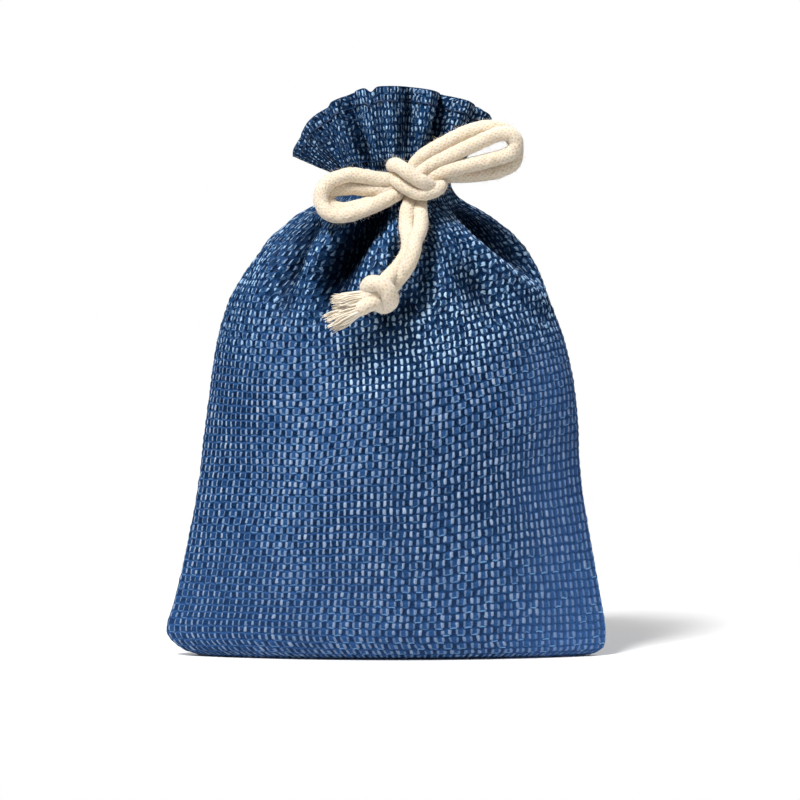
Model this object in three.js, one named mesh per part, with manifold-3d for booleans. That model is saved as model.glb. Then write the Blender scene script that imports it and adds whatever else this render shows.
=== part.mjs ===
// A small kinchaku pouch of coarse woven cloth, filled and standing, drawn shut at its
// neck by one cotton drawstring that is tied in a bow with its two ends laid together.
// Millimetres, +Z up, front towards -Y, origin in the middle of the base.
import * as THREE from "three";
import { mergeVertices } from "three/addons/utils/BufferGeometryUtils.js";
import Module from "manifold-3d";

const wasm = await Module();
wasm.setup();

// Main sizes of the sewn pouch
const pouchWidth = 100;
const neckHeight = 107;
const headingHeight = 22.9;
const bellyDepth = 40;
const neckWidth = 25;
const neckDepth = 18;
const neckShift = 2.2;

// The heading above the casing, a funnel of hemmed cloth
const rimWidth = 45;
const rimDepth = 24;
const rimShift = 1.4;
const rimDroopLeft = 15;
const rimDroopRight = 8;
const rimBackLower = 2;
const hemWall = 1.6;
const funnelFloor = 4.2;

// Folds and weave
const pleatDepthNeck = 1.9;
const pleatDepthRim = 4.6;
const gatherSharpness = 1.7;
const foldSharpness = 1.7;
const ridgeCount = 108;
const ridgeHeight = 0.5;
const ridgeTopFade = 0.86;

// Cord and the casing that it runs in
const cordDiameter = 3.4;
const casingClearance = 0.4;
const casingInset = 2.9;

// The loops' knot in front of the neck, measured from the middle of the neck
const bowKnotX = 4.4;
const bowKnotUp = 2.0;
const bowKnotForward = 3.5;

const clothColour = "#405b7f";
const cordColour = "#f1e4d0";

const columns = 2 * ridgeCount;
const halfColumns = ridgeCount;
const halfWidth = pouchWidth / 2;
const halfDepth = bellyDepth / 2;
const cordRadius = cordDiameter / 2;
const neckFront = -neckDepth / 2;

// Stations up the body: height as a share of the neck height, left and right edges as
// shares of half the flat width, depth as a share of half the belly depth, and the
// roundness of the section (2 is a lens with sharp side seams, 1 is an ellipse)
const bodyStations = [
  [0.0, -0.86, 0.93, 0.42, 1.5],
  [0.016, -0.94, 0.99, 0.54, 1.6],
  [0.05, -1.0, 1.0, 0.64, 1.9],
  [0.115, -0.965, 0.98, 0.75, 1.8],
  [0.23, -0.905, 0.935, 0.88, 1.6],
  [0.38, -0.85, 0.885, 0.96, 1.45],
  [0.54, -0.806, 0.864, 1.0, 1.3],
  [0.67, -0.764, 0.81, 1.0, 1.2],
  [0.755, -0.71, 0.742, 0.98, 1.12],
  [0.82, -0.63, 0.69, 0.93, 1.05],
  [0.862, -0.56, 0.635, 0.87, 1.0],
  [0.9, -0.485, 0.56, 0.79, 1.0],
  [0.94, -0.385, 0.45, 0.67, 1.0],
  [0.972, -0.265, 0.335, 0.53, 1.0],
];
const neckShare = [
  (neckShift - neckWidth / 2) / halfWidth,
  (neckShift + neckWidth / 2) / halfWidth,
  neckDepth / bellyDepth,
];
const stations = [...bodyStations, [1.0, ...neckShare, 1.0], [1.02, ...neckShare, 1.0]];

// Gathers of the drawn-in cloth: place on the panel from left seam (-1) to right seam (1),
// half width on the same scale, depth, and how far down the shoulder they run
const frontGathers = [
  { at: -0.86, half: 0.12, depth: 0.2, reach: 0.16 },
  { at: -0.6, half: 0.19, depth: 0.7, reach: 0.22 },
  { at: -0.36, half: 0.18, depth: 1.25, reach: 0.18 },
  { at: -0.1, half: 0.12, depth: 0.3, reach: 0.16 },
  { at: 0.16, half: 0.2, depth: 1.3, reach: 0.14 },
  { at: 0.47, half: 0.18, depth: 1.1, reach: 0.24 },
  { at: 0.79, half: 0.14, depth: 0.4, reach: 0.2 },
];
const backGathers = [
  { at: -0.8, half: 0.15, depth: 0.3, reach: 0.22 },
  { at: -0.52, half: 0.17, depth: 1.1, reach: 0.28 },
  { at: -0.22, half: 0.15, depth: 0.6, reach: 0.18 },
  { at: 0.08, half: 0.18, depth: 1.2, reach: 0.3 },
  { at: 0.36, half: 0.14, depth: 0.5, reach: 0.2 },
  { at: 0.62, half: 0.16, depth: 1.0, reach: 0.25 },
  { at: 0.87, half: 0.1, depth: 0.2, reach: 0.18 },
];

// Larger folds of the shoulder, seen from the front: points as shares of half the flat
// width and of the neck height, with the fold's height and half width in millimetres.
// A height below 0 is a valley and one above 0 a ridge.
const frontFolds = [
  [
    { x: 0.008, z: 0.963, height: -4.2, half: 1.9 },
    { x: -0.064, z: 0.929, height: -9.5, half: 2.4 },
    { x: -0.144, z: 0.877, height: -11.5, half: 2.8 },
    { x: -0.204, z: 0.824, height: -9.5, half: 3.0 },
    { x: -0.236, z: 0.77, height: -4.6, half: 3.1 },
    { x: -0.24, z: 0.706, height: 0, half: 3.3 },
  ],
  [
    { x: -0.12, z: 0.935, height: -1.5, half: 3.2 },
    { x: -0.208, z: 0.869, height: -2.8, half: 3.4 },
    { x: -0.26, z: 0.813, height: -2.8, half: 3.4 },
    { x: -0.28, z: 0.748, height: 0, half: 3.6 },
  ],
  [
    { x: -0.216, z: 0.916, height: 0.8, half: 1.6 },
    { x: -0.276, z: 0.873, height: 2.2, half: 1.8 },
    { x: -0.32, z: 0.832, height: 2.6, half: 2.0 },
    { x: -0.336, z: 0.785, height: 1.8, half: 2.2 },
    { x: -0.328, z: 0.72, height: 0, half: 2.4 },
  ],
  [
    { x: 0.05, z: 0.911, height: 0.9, half: 2.2 },
    { x: -0.028, z: 0.874, height: 2.2, half: 2.6 },
    { x: -0.098, z: 0.822, height: 2.0, half: 2.8 },
    { x: -0.14, z: 0.752, height: 0, half: 3.2 },
  ],
  [
    { x: 0.21, z: 0.963, height: 0.8, half: 1.3 },
    { x: 0.312, z: 0.92, height: 2.1, half: 1.6 },
    { x: 0.408, z: 0.88, height: 2.8, half: 1.8 },
    { x: 0.526, z: 0.828, height: 2.5, half: 2.1 },
    { x: 0.638, z: 0.785, height: 1.4, half: 2.3 },
    { x: 0.74, z: 0.729, height: 0, half: 2.6 },
  ],
  [
    { x: 0.26, z: 0.972, height: -2.4, half: 1.5 },
    { x: 0.384, z: 0.935, height: -5.2, half: 2.0 },
    { x: 0.504, z: 0.888, height: -6.4, half: 2.4 },
    { x: 0.616, z: 0.845, height: -4.8, half: 2.5 },
    { x: 0.72, z: 0.785, height: 0, half: 2.6 },
  ],
  [
    { x: 0.172, z: 0.949, height: -2.2, half: 1.6 },
    { x: 0.204, z: 0.883, height: -4.0, half: 2.1 },
    { x: 0.248, z: 0.818, height: -2.8, half: 2.6 },
    { x: 0.288, z: 0.729, height: 0, half: 3.0 },
  ],
  [
    { x: 0.34, z: 0.85, height: -0.6, half: 1.5 },
    { x: 0.43, z: 0.785, height: -2.2, half: 1.9 },
    { x: 0.54, z: 0.701, height: 0, half: 2.6 },
  ],
  [
    { x: -0.38, z: 0.893, height: -2.2, half: 1.8 },
    { x: -0.456, z: 0.808, height: -3.0, half: 2.5 },
    { x: -0.48, z: 0.706, height: 0, half: 3.2 },
  ],
  [
    { x: -0.51, z: 0.832, height: 0.8, half: 2.0 },
    { x: -0.59, z: 0.748, height: 0.7, half: 2.6 },
    { x: -0.63, z: 0.664, height: 0, half: 2.8 },
  ],
];
const backFolds = [
  [
    { x: 0.06, z: 0.963, height: -2.4, half: 2.4 },
    { x: 0.14, z: 0.916, height: -4.6, half: 3.0 },
    { x: 0.22, z: 0.841, height: -4.2, half: 3.6 },
    { x: 0.26, z: 0.757, height: 0, half: 4.2 },
  ],
  [
    { x: -0.18, z: 0.944, height: -1.6, half: 2.2 },
    { x: -0.3, z: 0.869, height: -3.0, half: 2.8 },
    { x: -0.4, z: 0.785, height: -1.4, half: 3.6 },
    { x: -0.44, z: 0.72, height: 0, half: 3.0 },
  ],
  [
    { x: 0.34, z: 0.916, height: -1.2, half: 2.0 },
    { x: 0.48, z: 0.832, height: -2.2, half: 2.6 },
    { x: 0.54, z: 0.729, height: 0, half: 3.2 },
  ],
  [
    { x: -0.06, z: 0.925, height: 0.6, half: 2.2 },
    { x: -0.08, z: 0.841, height: 1.4, half: 3.2 },
    { x: -0.06, z: 0.738, height: 0, half: 3.4 },
  ],
  [
    { x: 0.24, z: 0.935, height: 0.4, half: 1.8 },
    { x: 0.35, z: 0.85, height: 1.2, half: 2.4 },
    { x: 0.4, z: 0.757, height: 0, half: 2.8 },
  ],
];

const rowShares = [
  0, 0.016, 0.05, 0.115, 0.24, 0.38, 0.54, 0.66, 0.73, 0.785, 0.83, 0.868, 0.902, 0.934,
  0.966, 1.0, 1.02,
];
const headingRows = [0.28, 0.58, 0.84, 1.0];
const funnelRows = [1.0, 0.66, 0.34];

function smooth(value) {
  const t = Math.min(1, Math.max(0, value));
  return t * t * (3 - 2 * t);
}

// Value of one column of the station table at a height, by a monotone smooth curve
function stationValue(share, index) {
  let low = 0;
  while (low < stations.length - 2 && stations[low + 1][0] < share) {
    low += 1;
  }
  const before = stations[Math.max(0, low - 1)];
  const from = stations[low];
  const to = stations[low + 1];
  const after = stations[Math.min(stations.length - 1, low + 2)];
  const span = to[0] - from[0];
  const t = Math.min(1, Math.max(0, (share - from[0]) / span));
  const rise = to[index] - from[index];
  const limit = 3 * Math.abs(rise);
  let slopeIn = (span * (to[index] - before[index])) / (to[0] - before[0]);
  let slopeOut = (span * (after[index] - from[index])) / (after[0] - from[0]);
  slopeIn = slopeIn * rise <= 0 ? 0 : Math.sign(rise) * Math.min(Math.abs(slopeIn), limit);
  slopeOut = slopeOut * rise <= 0 ? 0 : Math.sign(rise) * Math.min(Math.abs(slopeOut), limit);
  const t2 = t * t;
  const t3 = t2 * t;
  const keepFrom = 2 * t3 - 3 * t2 + 1;
  const keepTo = 3 * t2 - 2 * t3;
  return (
    keepFrom * from[index] +
    keepTo * to[index] +
    (t3 - 2 * t2 + t) * slopeIn +
    (t3 - t2) * slopeOut
  );
}

// Closed section with its points spread evenly along each panel of cloth, so that each
// column of points follows one upright yarn. Column 0 is the right seam, the back panel
// comes first and the front panel runs from the left seam back to the right one.
function sectionRing(left, right, depth, roundness) {
  const centre = (left + right) / 2;
  const reach = (right - left) / 2;
  const fine = 400;
  const outline = [];
  for (let i = 0; i <= fine; i += 1) {
    const angle = (Math.PI * i) / fine;
    const y = depth * Math.pow(Math.max(0, Math.sin(angle)), roundness);
    outline.push(new THREE.Vector2(centre + reach * Math.cos(angle), y));
  }
  const lengths = [0];
  for (let i = 1; i <= fine; i += 1) {
    lengths.push(lengths[i - 1] + outline[i].distanceTo(outline[i - 1]));
  }
  const half = [];
  let cursor = 0;
  for (let i = 0; i < halfColumns; i += 1) {
    const goal = (lengths[fine] * i) / halfColumns;
    while (lengths[cursor + 1] < goal) {
      cursor += 1;
    }
    const t = (goal - lengths[cursor]) / (lengths[cursor + 1] - lengths[cursor]);
    half.push(outline[cursor].clone().lerp(outline[cursor + 1], t));
  }
  const ring = [...half];
  for (let i = 0; i < halfColumns; i += 1) {
    ring.push(new THREE.Vector2(2 * centre - half[i].x, -half[i].y));
  }
  return ring;
}

// Place of a column on its panel, from the left seam (-1) to the right seam (1)
function panelPlace(column) {
  if (column < halfColumns) {
    return 1 - (2 * column) / halfColumns;
  }
  return (2 * (column - halfColumns)) / halfColumns - 1;
}

function gatherShare(column, share) {
  const gathers = column < halfColumns ? backGathers : frontGathers;
  const place = panelPlace(column);
  let sum = 0;
  for (const gather of gathers) {
    const offset = Math.abs(place - gather.at) / gather.half;
    if (offset < 1) {
      const fade = smooth(1 - (1 - share) / gather.reach);
      sum += gather.depth * fade * Math.pow(1 - offset, gatherSharpness);
    }
  }
  return sum;
}

// Height of the larger shoulder folds at a point of the front or back view
function foldHeight(folds, x, z) {
  let total = 0;
  for (const fold of folds) {
    let nearest = Infinity;
    let height = 0;
    let half = 1;
    for (let i = 0; i + 1 < fold.length; i += 1) {
      const from = fold[i];
      const to = fold[i + 1];
      const start = new THREE.Vector2(from.x * halfWidth, from.z * neckHeight);
      const end = new THREE.Vector2(to.x * halfWidth, to.z * neckHeight);
      const along = end.clone().sub(start);
      const toPoint = new THREE.Vector2(x, z).sub(start);
      const t = Math.min(1, Math.max(0, toPoint.dot(along) / along.lengthSq()));
      const away = toPoint.distanceTo(along.clone().multiplyScalar(t));
      if (away < nearest) {
        nearest = away;
        height = from.height + (to.height - from.height) * t;
        half = from.half + (to.half - from.half) * t;
      }
    }
    total += height * Math.exp(-Math.pow(nearest / half, foldSharpness));
  }
  return total;
}

// Inward direction of each point of a section, square to its outline
function inwardNormals(ring) {
  return ring.map((point, i) => {
    const next = ring[(i + 1) % ring.length];
    const last = ring[(i + ring.length - 1) % ring.length];
    const run = next.clone().sub(last).normalize();
    return new THREE.Vector2(-run.y, run.x);
  });
}

// One closed row of the body's outer surface
function bodyRow(share) {
  const z = share * neckHeight;
  const left = stationValue(share, 1) * halfWidth;
  const right = stationValue(share, 2) * halfWidth;
  const depth = stationValue(share, 3) * halfDepth;
  const ring = sectionRing(left, right, depth, stationValue(share, 4));
  const normals = inwardNormals(ring);
  const ridgeFade = smooth((ridgeTopFade - share) / 0.12);
  return ring.map((point, i) => {
    const seam = Math.abs(panelPlace(i)) > 0.999;
    const ridge = (i % 2 === 0 ? 0 : ridgeHeight) * ridgeFade * (seam ? 0 : 1);
    const gather = pleatDepthNeck * gatherShare(i, Math.min(1, share));
    const folds = i < halfColumns ? backFolds : frontFolds;
    const nearSeam = smooth((1 - Math.abs(panelPlace(i))) / 0.1);
    const fold = foldHeight(folds, point.x, z) * smooth((0.988 - share) / 0.05) * nearSeam;
    const inset = share > 0 ? ridge + gather - fold : 0;
    const moved = point.clone().addScaledVector(normals[i], inset);
    return new THREE.Vector3(moved.x, moved.y, z);
  });
}

// One closed row of the heading: 0 is at the casing, 1 is the hemmed rim. The rim stands
// highest in the middle and droops towards both side seams.
function headingRow(rise, wall) {
  const flare = Math.pow(rise, 0.9);
  const left = (1 - flare) * (neckShift - neckWidth / 2) + flare * (rimShift - rimWidth / 2);
  const right = (1 - flare) * (neckShift + neckWidth / 2) + flare * (rimShift + rimWidth / 2);
  const depth = ((1 - rise) * neckDepth + rise * rimDepth) / 2;
  const centre = (left + right) / 2;
  const reach = (right - left) / 2;
  const ring = sectionRing(left, right, depth, 1);
  const normals = inwardNormals(ring);
  const bottom = 1.02 * neckHeight;
  const top = neckHeight + headingHeight;
  return ring.map((point, i) => {
    const gather = gatherShare(i, 1);
    const pleat = pleatDepthNeck + (pleatDepthRim - pleatDepthNeck) * rise;
    const moved = point.clone().addScaledVector(normals[i], pleat * gather);
    const side = Math.min(1, Math.max(-1, (point.x - centre) / reach));
    const droop = (rimDroopRight + rimDroopLeft + side * (rimDroopRight - rimDroopLeft)) / 2;
    const dome = Math.max(0, 1 - side * side);
    const backDrop = i < halfColumns ? rimBackLower * dome : 0;
    const drop = droop * (1 - Math.pow(dome, 0.55)) + 0.1 * gather + backDrop;
    const outward = moved.clone().sub(new THREE.Vector2(centre, 0));
    const size = outward.length();
    const kept = outward.multiplyScalar(Math.max(0.15, (size - wall) / size));
    const z = bottom + (top - drop - bottom) * rise;
    return new THREE.Vector3(centre + kept.x, kept.y, z);
  });
}

// The floor of the funnel, where the folds close up just above the casing
function funnelFloorRow() {
  const ring = sectionRing(
    neckShift - neckWidth * 0.22,
    neckShift + neckWidth * 0.22,
    neckDepth * 0.16,
    1
  );
  return ring.map((point) => new THREE.Vector3(point.x, point.y, neckHeight + funnelFloor));
}

// Closed skin over a stack of rows, with a fan at each end
function skinOf(rows, lowPoint, highPoint) {
  const positions = [];
  for (const row of rows) {
    for (const point of row) {
      positions.push(point.x, point.y, point.z);
    }
  }
  const lowIndex = rows.length * columns;
  const highIndex = lowIndex + 1;
  positions.push(lowPoint.x, lowPoint.y, lowPoint.z);
  positions.push(highPoint.x, highPoint.y, highPoint.z);
  const index = [];
  for (let r = 0; r + 1 < rows.length; r += 1) {
    for (let c = 0; c < columns; c += 1) {
      const next = (c + 1) % columns;
      const a = r * columns + c;
      const b = r * columns + next;
      const d = (r + 1) * columns + c;
      const e = (r + 1) * columns + next;
      index.push(a, b, e, a, e, d);
    }
  }
  for (let c = 0; c < columns; c += 1) {
    const next = (c + 1) % columns;
    const last = (rows.length - 1) * columns;
    index.push(lowIndex, next, c);
    index.push(highIndex, last + c, last + next);
  }
  const geometry = new THREE.BufferGeometry();
  geometry.setAttribute("position", new THREE.Float32BufferAttribute(positions, 3));
  geometry.setIndex(index);
  return geometry;
}

function solidOf(geometry) {
  const bare = geometry.clone();
  bare.deleteAttribute("normal");
  bare.deleteAttribute("uv");
  const merged = mergeVertices(bare, 1e-4);
  const mesh = new wasm.Mesh({
    numProp: 3,
    vertProperties: new Float32Array(merged.attributes.position.array),
    triVerts: new Uint32Array(merged.index.array),
  });
  return new wasm.Manifold(mesh);
}

// The joined body without slivers that a join leaves where two strands just touch
function mainBody(solid) {
  return solid.decompose().reduce((best, body) => (body.volume() > best.volume() ? body : best));
}

function geometryOf(solid) {
  const mesh = solid.getMesh();
  const geometry = new THREE.BufferGeometry();
  geometry.setAttribute("position", new THREE.BufferAttribute(mesh.vertProperties, 3));
  geometry.setIndex(new THREE.BufferAttribute(mesh.triVerts, 1));
  return geometry;
}

function roundSection(radius, sides) {
  const shape = new THREE.Shape();
  for (let i = 0; i < sides; i += 1) {
    const angle = (2 * Math.PI * (i + 0.5)) / sides;
    const x = radius * Math.cos(angle);
    const y = radius * Math.sin(angle);
    if (i === 0) {
      shape.moveTo(x, y);
    } else {
      shape.lineTo(x, y);
    }
  }
  shape.closePath();
  return shape;
}

function tube(points, radius, steps, sides = 8) {
  const path = new THREE.CatmullRomCurve3(points, false, "centripetal");
  return new THREE.ExtrudeGeometry(roundSection(radius, sides), {
    steps,
    bevelEnabled: false,
    extrudePath: path,
  });
}

// Run of the drawstring in its casing round the neck. Both ends come out side by side at
// the front, behind the bow.
const ringReachX = neckWidth / 2 - casingInset - cordRadius - casingClearance;
const ringReachY = neckDepth / 2 - casingInset - cordRadius - casingClearance;
const exitSpread = cordRadius + casingClearance / 2 + 0.1;
const exitX = bowKnotX + neckShift;

function casingPath() {
  const leftEnd = exitX - exitSpread;
  const rightEnd = exitX + exitSpread;
  const plan = [
    [leftEnd, neckFront],
    [leftEnd, neckFront + 1.8],
    [leftEnd - 0.7, neckFront + 3.6],
    [leftEnd - 2.8, -ringReachY],
    [neckShift - 0.45 * ringReachX, -0.97 * ringReachY],
    [neckShift - 0.86 * ringReachX, -0.6 * ringReachY],
    [neckShift - ringReachX, 0.05 * ringReachY],
    [neckShift - 0.78 * ringReachX, 0.7 * ringReachY],
    [neckShift - 0.3 * ringReachX, ringReachY],
    [neckShift + 0.25 * ringReachX, ringReachY],
    [neckShift + 0.72 * ringReachX, 0.72 * ringReachY],
    [neckShift + 0.97 * ringReachX, 0],
    [rightEnd + 0.6, -0.85 * ringReachY],
    [rightEnd, neckFront + 2.4],
    [rightEnd, neckFront],
  ];
  return plan.map(([x, y]) => new THREE.Vector3(x, y, neckHeight));
}

const casingSteps = 30;
const casingCord = tube(casingPath(), cordRadius, casingSteps);
const casingBore = tube(casingPath(), cordRadius + casingClearance, casingSteps);

// Mouth of the casing, one round hole for each end of the cord
function exitHole(x) {
  const inner = new THREE.Vector3(x, neckFront + 1.5, neckHeight);
  const outer = new THREE.Vector3(x, neckFront - 4, neckHeight);
  return tube([inner, outer], cordRadius + casingClearance, 1);
}

// Cloth, one piece from the base up to the rim and down into the funnel
const rows = rowShares.map((share) => bodyRow(share));
for (const rise of headingRows) {
  rows.push(headingRow(rise, 0));
}
for (const rise of funnelRows) {
  rows.push(headingRow(rise, hemWall));
}
rows.push(funnelFloorRow());
const baseMiddle = new THREE.Vector3(0, 0, 0);
const funnelMiddle = new THREE.Vector3(neckShift, 0, neckHeight + funnelFloor);
const cloth = solidOf(skinOf(rows, baseMiddle, funnelMiddle))
  .subtract(solidOf(casingBore))
  .subtract(solidOf(exitHole(exitX - exitSpread)))
  .subtract(solidOf(exitHole(exitX + exitSpread)));

// The bow: points from the knot's middle, right, forward of the neck and up
const knotMiddle = new THREE.Vector3(
  exitX,
  neckFront - bowKnotForward,
  neckHeight + bowKnotUp
);

function fromKnot(list) {
  return list.map(([x, y, z]) => new THREE.Vector3(x, y, z).add(knotMiddle));
}

const leftLoopOuter = fromKnot([
  [0, 0.2, 0.8],
  [-4.8, -1.0, -0.2],
  [-8.0, -1.4, 0],
  [-11.2, -1.8, 0.6],
  [-14.4, -2.2, 1.0],
  [-17.2, -2.4, 0.4],
  [-19.7, -2.6, -1.0],
  [-21.1, -2.8, -3.3],
  [-20.9, -3.2, -5.7],
  [-19.2, -3.8, -7.6],
  [-16.4, -4.2, -8.1],
  [-12.4, -4.0, -7.1],
  [-7.8, -3.0, -5.1],
  [-4.4, -1.2, -3.4],
  [-1.0, 0.4, -1.6],
]);
const leftLoopInner = fromKnot([
  [0, 0, -0.8],
  [-4.4, -0.8, -2.3],
  [-8.0, -0.8, -2.5],
  [-11.6, -0.6, -2.1],
  [-14.9, -0.6, -1.9],
  [-18.2, -0.6, -2.4],
  [-20.0, -0.8, -3.8],
  [-19.4, -1.2, -5.6],
  [-16.6, -1.6, -6.8],
  [-12.6, -1.2, -6.2],
  [-8.0, 0, -4.4],
  [-3.6, 1.0, -2.6],
  [0, 1.2, -1.0],
]);
const rightLoopOuter = fromKnot([
  [0, 0.6, 1.6],
  [0.6, 0.6, 4.0],
  [2.8, 0.2, 5.8],
  [6.0, -0.2, 7.7],
  [11.0, -0.2, 10.2],
  [15.9, 0.2, 11.4],
  [19.0, 0.6, 10.8],
  [21.4, 0.9, 8.6],
  [22.3, 0.8, 6.0],
  [21.5, 0.5, 3.4],
  [18.6, 0.3, 1.9],
  [13.0, 0.4, 1.1],
  [7.6, 0.6, 0.7],
  [3.6, 1.0, 0.2],
  [0, 1.0, 0],
]);
const rightLoopInner = fromKnot([
  [0, -0.4, 0.4],
  [1.8, -0.6, 2.0],
  [4.6, -1.0, 3.7],
  [7.6, -1.4, 5.1],
  [11.5, -1.8, 7.0],
  [15.6, -2.2, 8.9],
  [19.0, -2.4, 10.2],
  [21.4, -2.4, 9.9],
  [22.6, -2.2, 8.0],
  [21.4, -2.0, 5.9],
  [17.2, -1.8, 4.4],
  [11.5, -1.6, 3.1],
  [6.4, -1.2, 1.7],
  [2.6, -0.4, 0.2],
  [0, 0, 0],
]);
const wrapUpper = fromKnot([
  [-3.0, 1.8, 1.8],
  [-5.4, 1.2, 2.3],
  [-6.3, -0.8, 2.4],
  [-5.4, -3.2, 2.6],
  [-3.4, -4.5, 2.1],
  [-1.2, -5.0, 1.0],
  [1.2, -4.7, -0.3],
  [3.4, -3.0, -1.5],
  [4.2, -0.8, -2.2],
]);
const wrapLower = fromKnot([
  [-3.4, 1.0, 0.9],
  [-4.7, -1.2, 0.4],
  [-3.4, -3.0, -0.9],
  [-1.2, -3.7, -2.4],
  [1.1, -3.9, -3.2],
  [3.3, -3.5, -2.9],
  [5.2, -2.3, -2.0],
  [5.7, -0.2, -1.2],
  [4.2, 1.2, -1.8],
]);
const loopSteps = 15;
const wrapSteps = 7;
const bowPieces = [
  tube(leftLoopOuter, cordRadius, loopSteps),
  tube(leftLoopInner, cordRadius, loopSteps),
  tube(rightLoopOuter, cordRadius, loopSteps),
  tube(rightLoopInner, cordRadius, loopSteps),
  tube(wrapUpper, cordRadius * 1.08, wrapSteps),
  tube(wrapLower, cordRadius * 1.08, wrapSteps),
];
const knotCore = new THREE.SphereGeometry(3.1, 10, 8);
knotCore.scale(1.2, 0.8, 1);
knotCore.translate(knotMiddle.x, knotMiddle.y, knotMiddle.z);
let bow = solidOf(knotCore);
for (const piece of bowPieces) {
  bow = bow.add(solidOf(piece));
}

// The tail: both ends of the cord side by side, from under the knot down the shoulder
const tailA = fromKnot([
  [-2.0, -0.9, -6.1],
  [-2.2, -3.1, -8.9],
  [-2.1, -6.0, -12.2],
  [-2.6, -7.7, -15.4],
  [-4.9, -8.7, -18.2],
  [-7.0, -9.3, -20.6],
]);
const tailB = fromKnot([
  [1.9, -1.0, -6.45],
  [1.9, -3.1, -9.1],
  [1.8, -5.6, -12.4],
  [1.3, -7.5, -16.0],
  [-0.9, -8.9, -19.6],
  [-3.6, -9.8, -22.6],
]);

// The end knot that ties both ends, and the two frayed tips below it
const endMiddle = new THREE.Vector3(-8.0, -10.3, -25.4).add(knotMiddle);
const endKnotRadius = 1.55;
const endKnotPoints = [];
for (let i = 0; i < 18; i += 1) {
  const turn = (2 * Math.PI * i) / 18;
  const x = 1.15 * (Math.sin(turn) + 1.6 * Math.sin(2 * turn));
  const z = 1.15 * (Math.cos(turn) - 1.6 * Math.cos(2 * turn));
  endKnotPoints.push(new THREE.Vector3(x, -1.3 * Math.sin(3 * turn), z).add(endMiddle));
}
const endKnotPath = new THREE.CatmullRomCurve3(endKnotPoints, true, "centripetal");
const endKnotTube = new THREE.ExtrudeGeometry(roundSection(endKnotRadius, 8), {
  steps: 24,
  bevelEnabled: false,
  extrudePath: endKnotPath,
});

function frayedTip(from, to, startRadius, endRadius, flatness) {
  const run = to.clone().sub(from);
  const tip = new THREE.CylinderGeometry(endRadius, startRadius, run.length(), 8);
  tip.scale(1, 1, flatness);
  const turn = new THREE.Quaternion().setFromUnitVectors(
    new THREE.Vector3(0, 1, 0),
    run.clone().normalize()
  );
  tip.applyQuaternion(turn);
  const middle = from.clone().add(to).multiplyScalar(0.5);
  tip.translate(middle.x, middle.y, middle.z);
  return tip;
}

const upperTip = frayedTip(
  new THREE.Vector3(-1.5, -0.2, 0.2).add(endMiddle),
  new THREE.Vector3(-10.0, 0.2, -1.4).add(endMiddle),
  1.5,
  2.2,
  0.75
);
const lowerTip = frayedTip(
  new THREE.Vector3(-1.0, -0.4, -2.0).add(endMiddle),
  new THREE.Vector3(-10.2, -0.4, -7.2).add(endMiddle),
  1.5,
  2.4,
  0.75
);
const endCore = new THREE.SphereGeometry(2.9, 10, 8);
endCore.translate(endMiddle.x, endMiddle.y, endMiddle.z);
const endKnot = solidOf(endCore)
  .add(solidOf(endKnotTube))
  .add(solidOf(upperTip))
  .add(solidOf(lowerTip));

const clothMaterial = { color: clothColour, roughness: 0.9, metalness: 0 };
const cordMaterial = { color: cordColour, roughness: 0.95, metalness: 0 };

function namedMesh(name, geometry, look) {
  const mesh = new THREE.Mesh(geometry, new THREE.MeshStandardMaterial(look));
  mesh.name = name;
  return mesh;
}

const pouch = new THREE.Group();
pouch.add(namedMesh("pouch_cloth", geometryOf(cloth), clothMaterial));
pouch.add(namedMesh("drawstring_in_casing", casingCord, cordMaterial));
pouch.add(namedMesh("bow", geometryOf(mainBody(bow)), cordMaterial));
pouch.add(namedMesh("tail_strand_left", tube(tailA, cordRadius, 7), cordMaterial));
pouch.add(namedMesh("tail_strand_right", tube(tailB, cordRadius, 7), cordMaterial));
pouch.add(namedMesh("end_knot", geometryOf(endKnot), cordMaterial));

export default pouch;
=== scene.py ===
import math
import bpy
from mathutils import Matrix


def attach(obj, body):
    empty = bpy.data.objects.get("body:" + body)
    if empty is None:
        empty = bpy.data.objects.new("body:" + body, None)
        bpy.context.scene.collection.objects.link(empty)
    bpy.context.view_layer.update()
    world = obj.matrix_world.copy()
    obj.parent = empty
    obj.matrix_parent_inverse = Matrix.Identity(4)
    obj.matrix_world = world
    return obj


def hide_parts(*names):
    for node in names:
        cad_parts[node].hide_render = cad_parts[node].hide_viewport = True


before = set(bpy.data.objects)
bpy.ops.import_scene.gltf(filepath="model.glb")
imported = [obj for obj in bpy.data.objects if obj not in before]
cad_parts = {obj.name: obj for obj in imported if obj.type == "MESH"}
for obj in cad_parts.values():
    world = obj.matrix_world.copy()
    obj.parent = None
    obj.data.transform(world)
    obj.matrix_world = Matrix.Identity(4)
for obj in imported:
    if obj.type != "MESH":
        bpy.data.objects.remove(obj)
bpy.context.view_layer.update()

from types import SimpleNamespace

import bpy
import numpy as np

MM = 0.001

# Driving sizes in mm, the same as in the solids
POUCH_WIDTH = 100.0
NECK_HEIGHT = 107.0
NECK_TOP_SHARE = 1.02
HEADING_HEIGHT = 22.9
BELLY_DEPTH = 40.0
NECK_WIDTH = 25.0
NECK_DEPTH = 18.0
NECK_SHIFT = 2.2
RIM_WIDTH = 45.0
RIM_DEPTH = 24.0
RIM_SHIFT = 1.4
RIM_DROOP_LEFT = 16.2
RIM_DROOP_RIGHT = 8.0
RIM_BACK_LOWER = 2.0
RIM_NOTCH = 1.1
RIM_NOTCH_AT = -3.4
PLEAT_NECK = 1.9
PLEAT_RIM = 4.6
FUNNEL_FLOOR = 4.2
HEADING_WALL = 1.1
UNDER_BASE = 6.0
CLOTH_LIFT = 0.25
LOWEST_YARN = 0.05
CORD_D = 3.4
CORD_STEP = 0.3
CORD_SIDES = 32
CORD_END_ROUND = 1.2
FIBRES_PER_CORD = 2400
TUFT_RADIUS = 1.25
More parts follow.
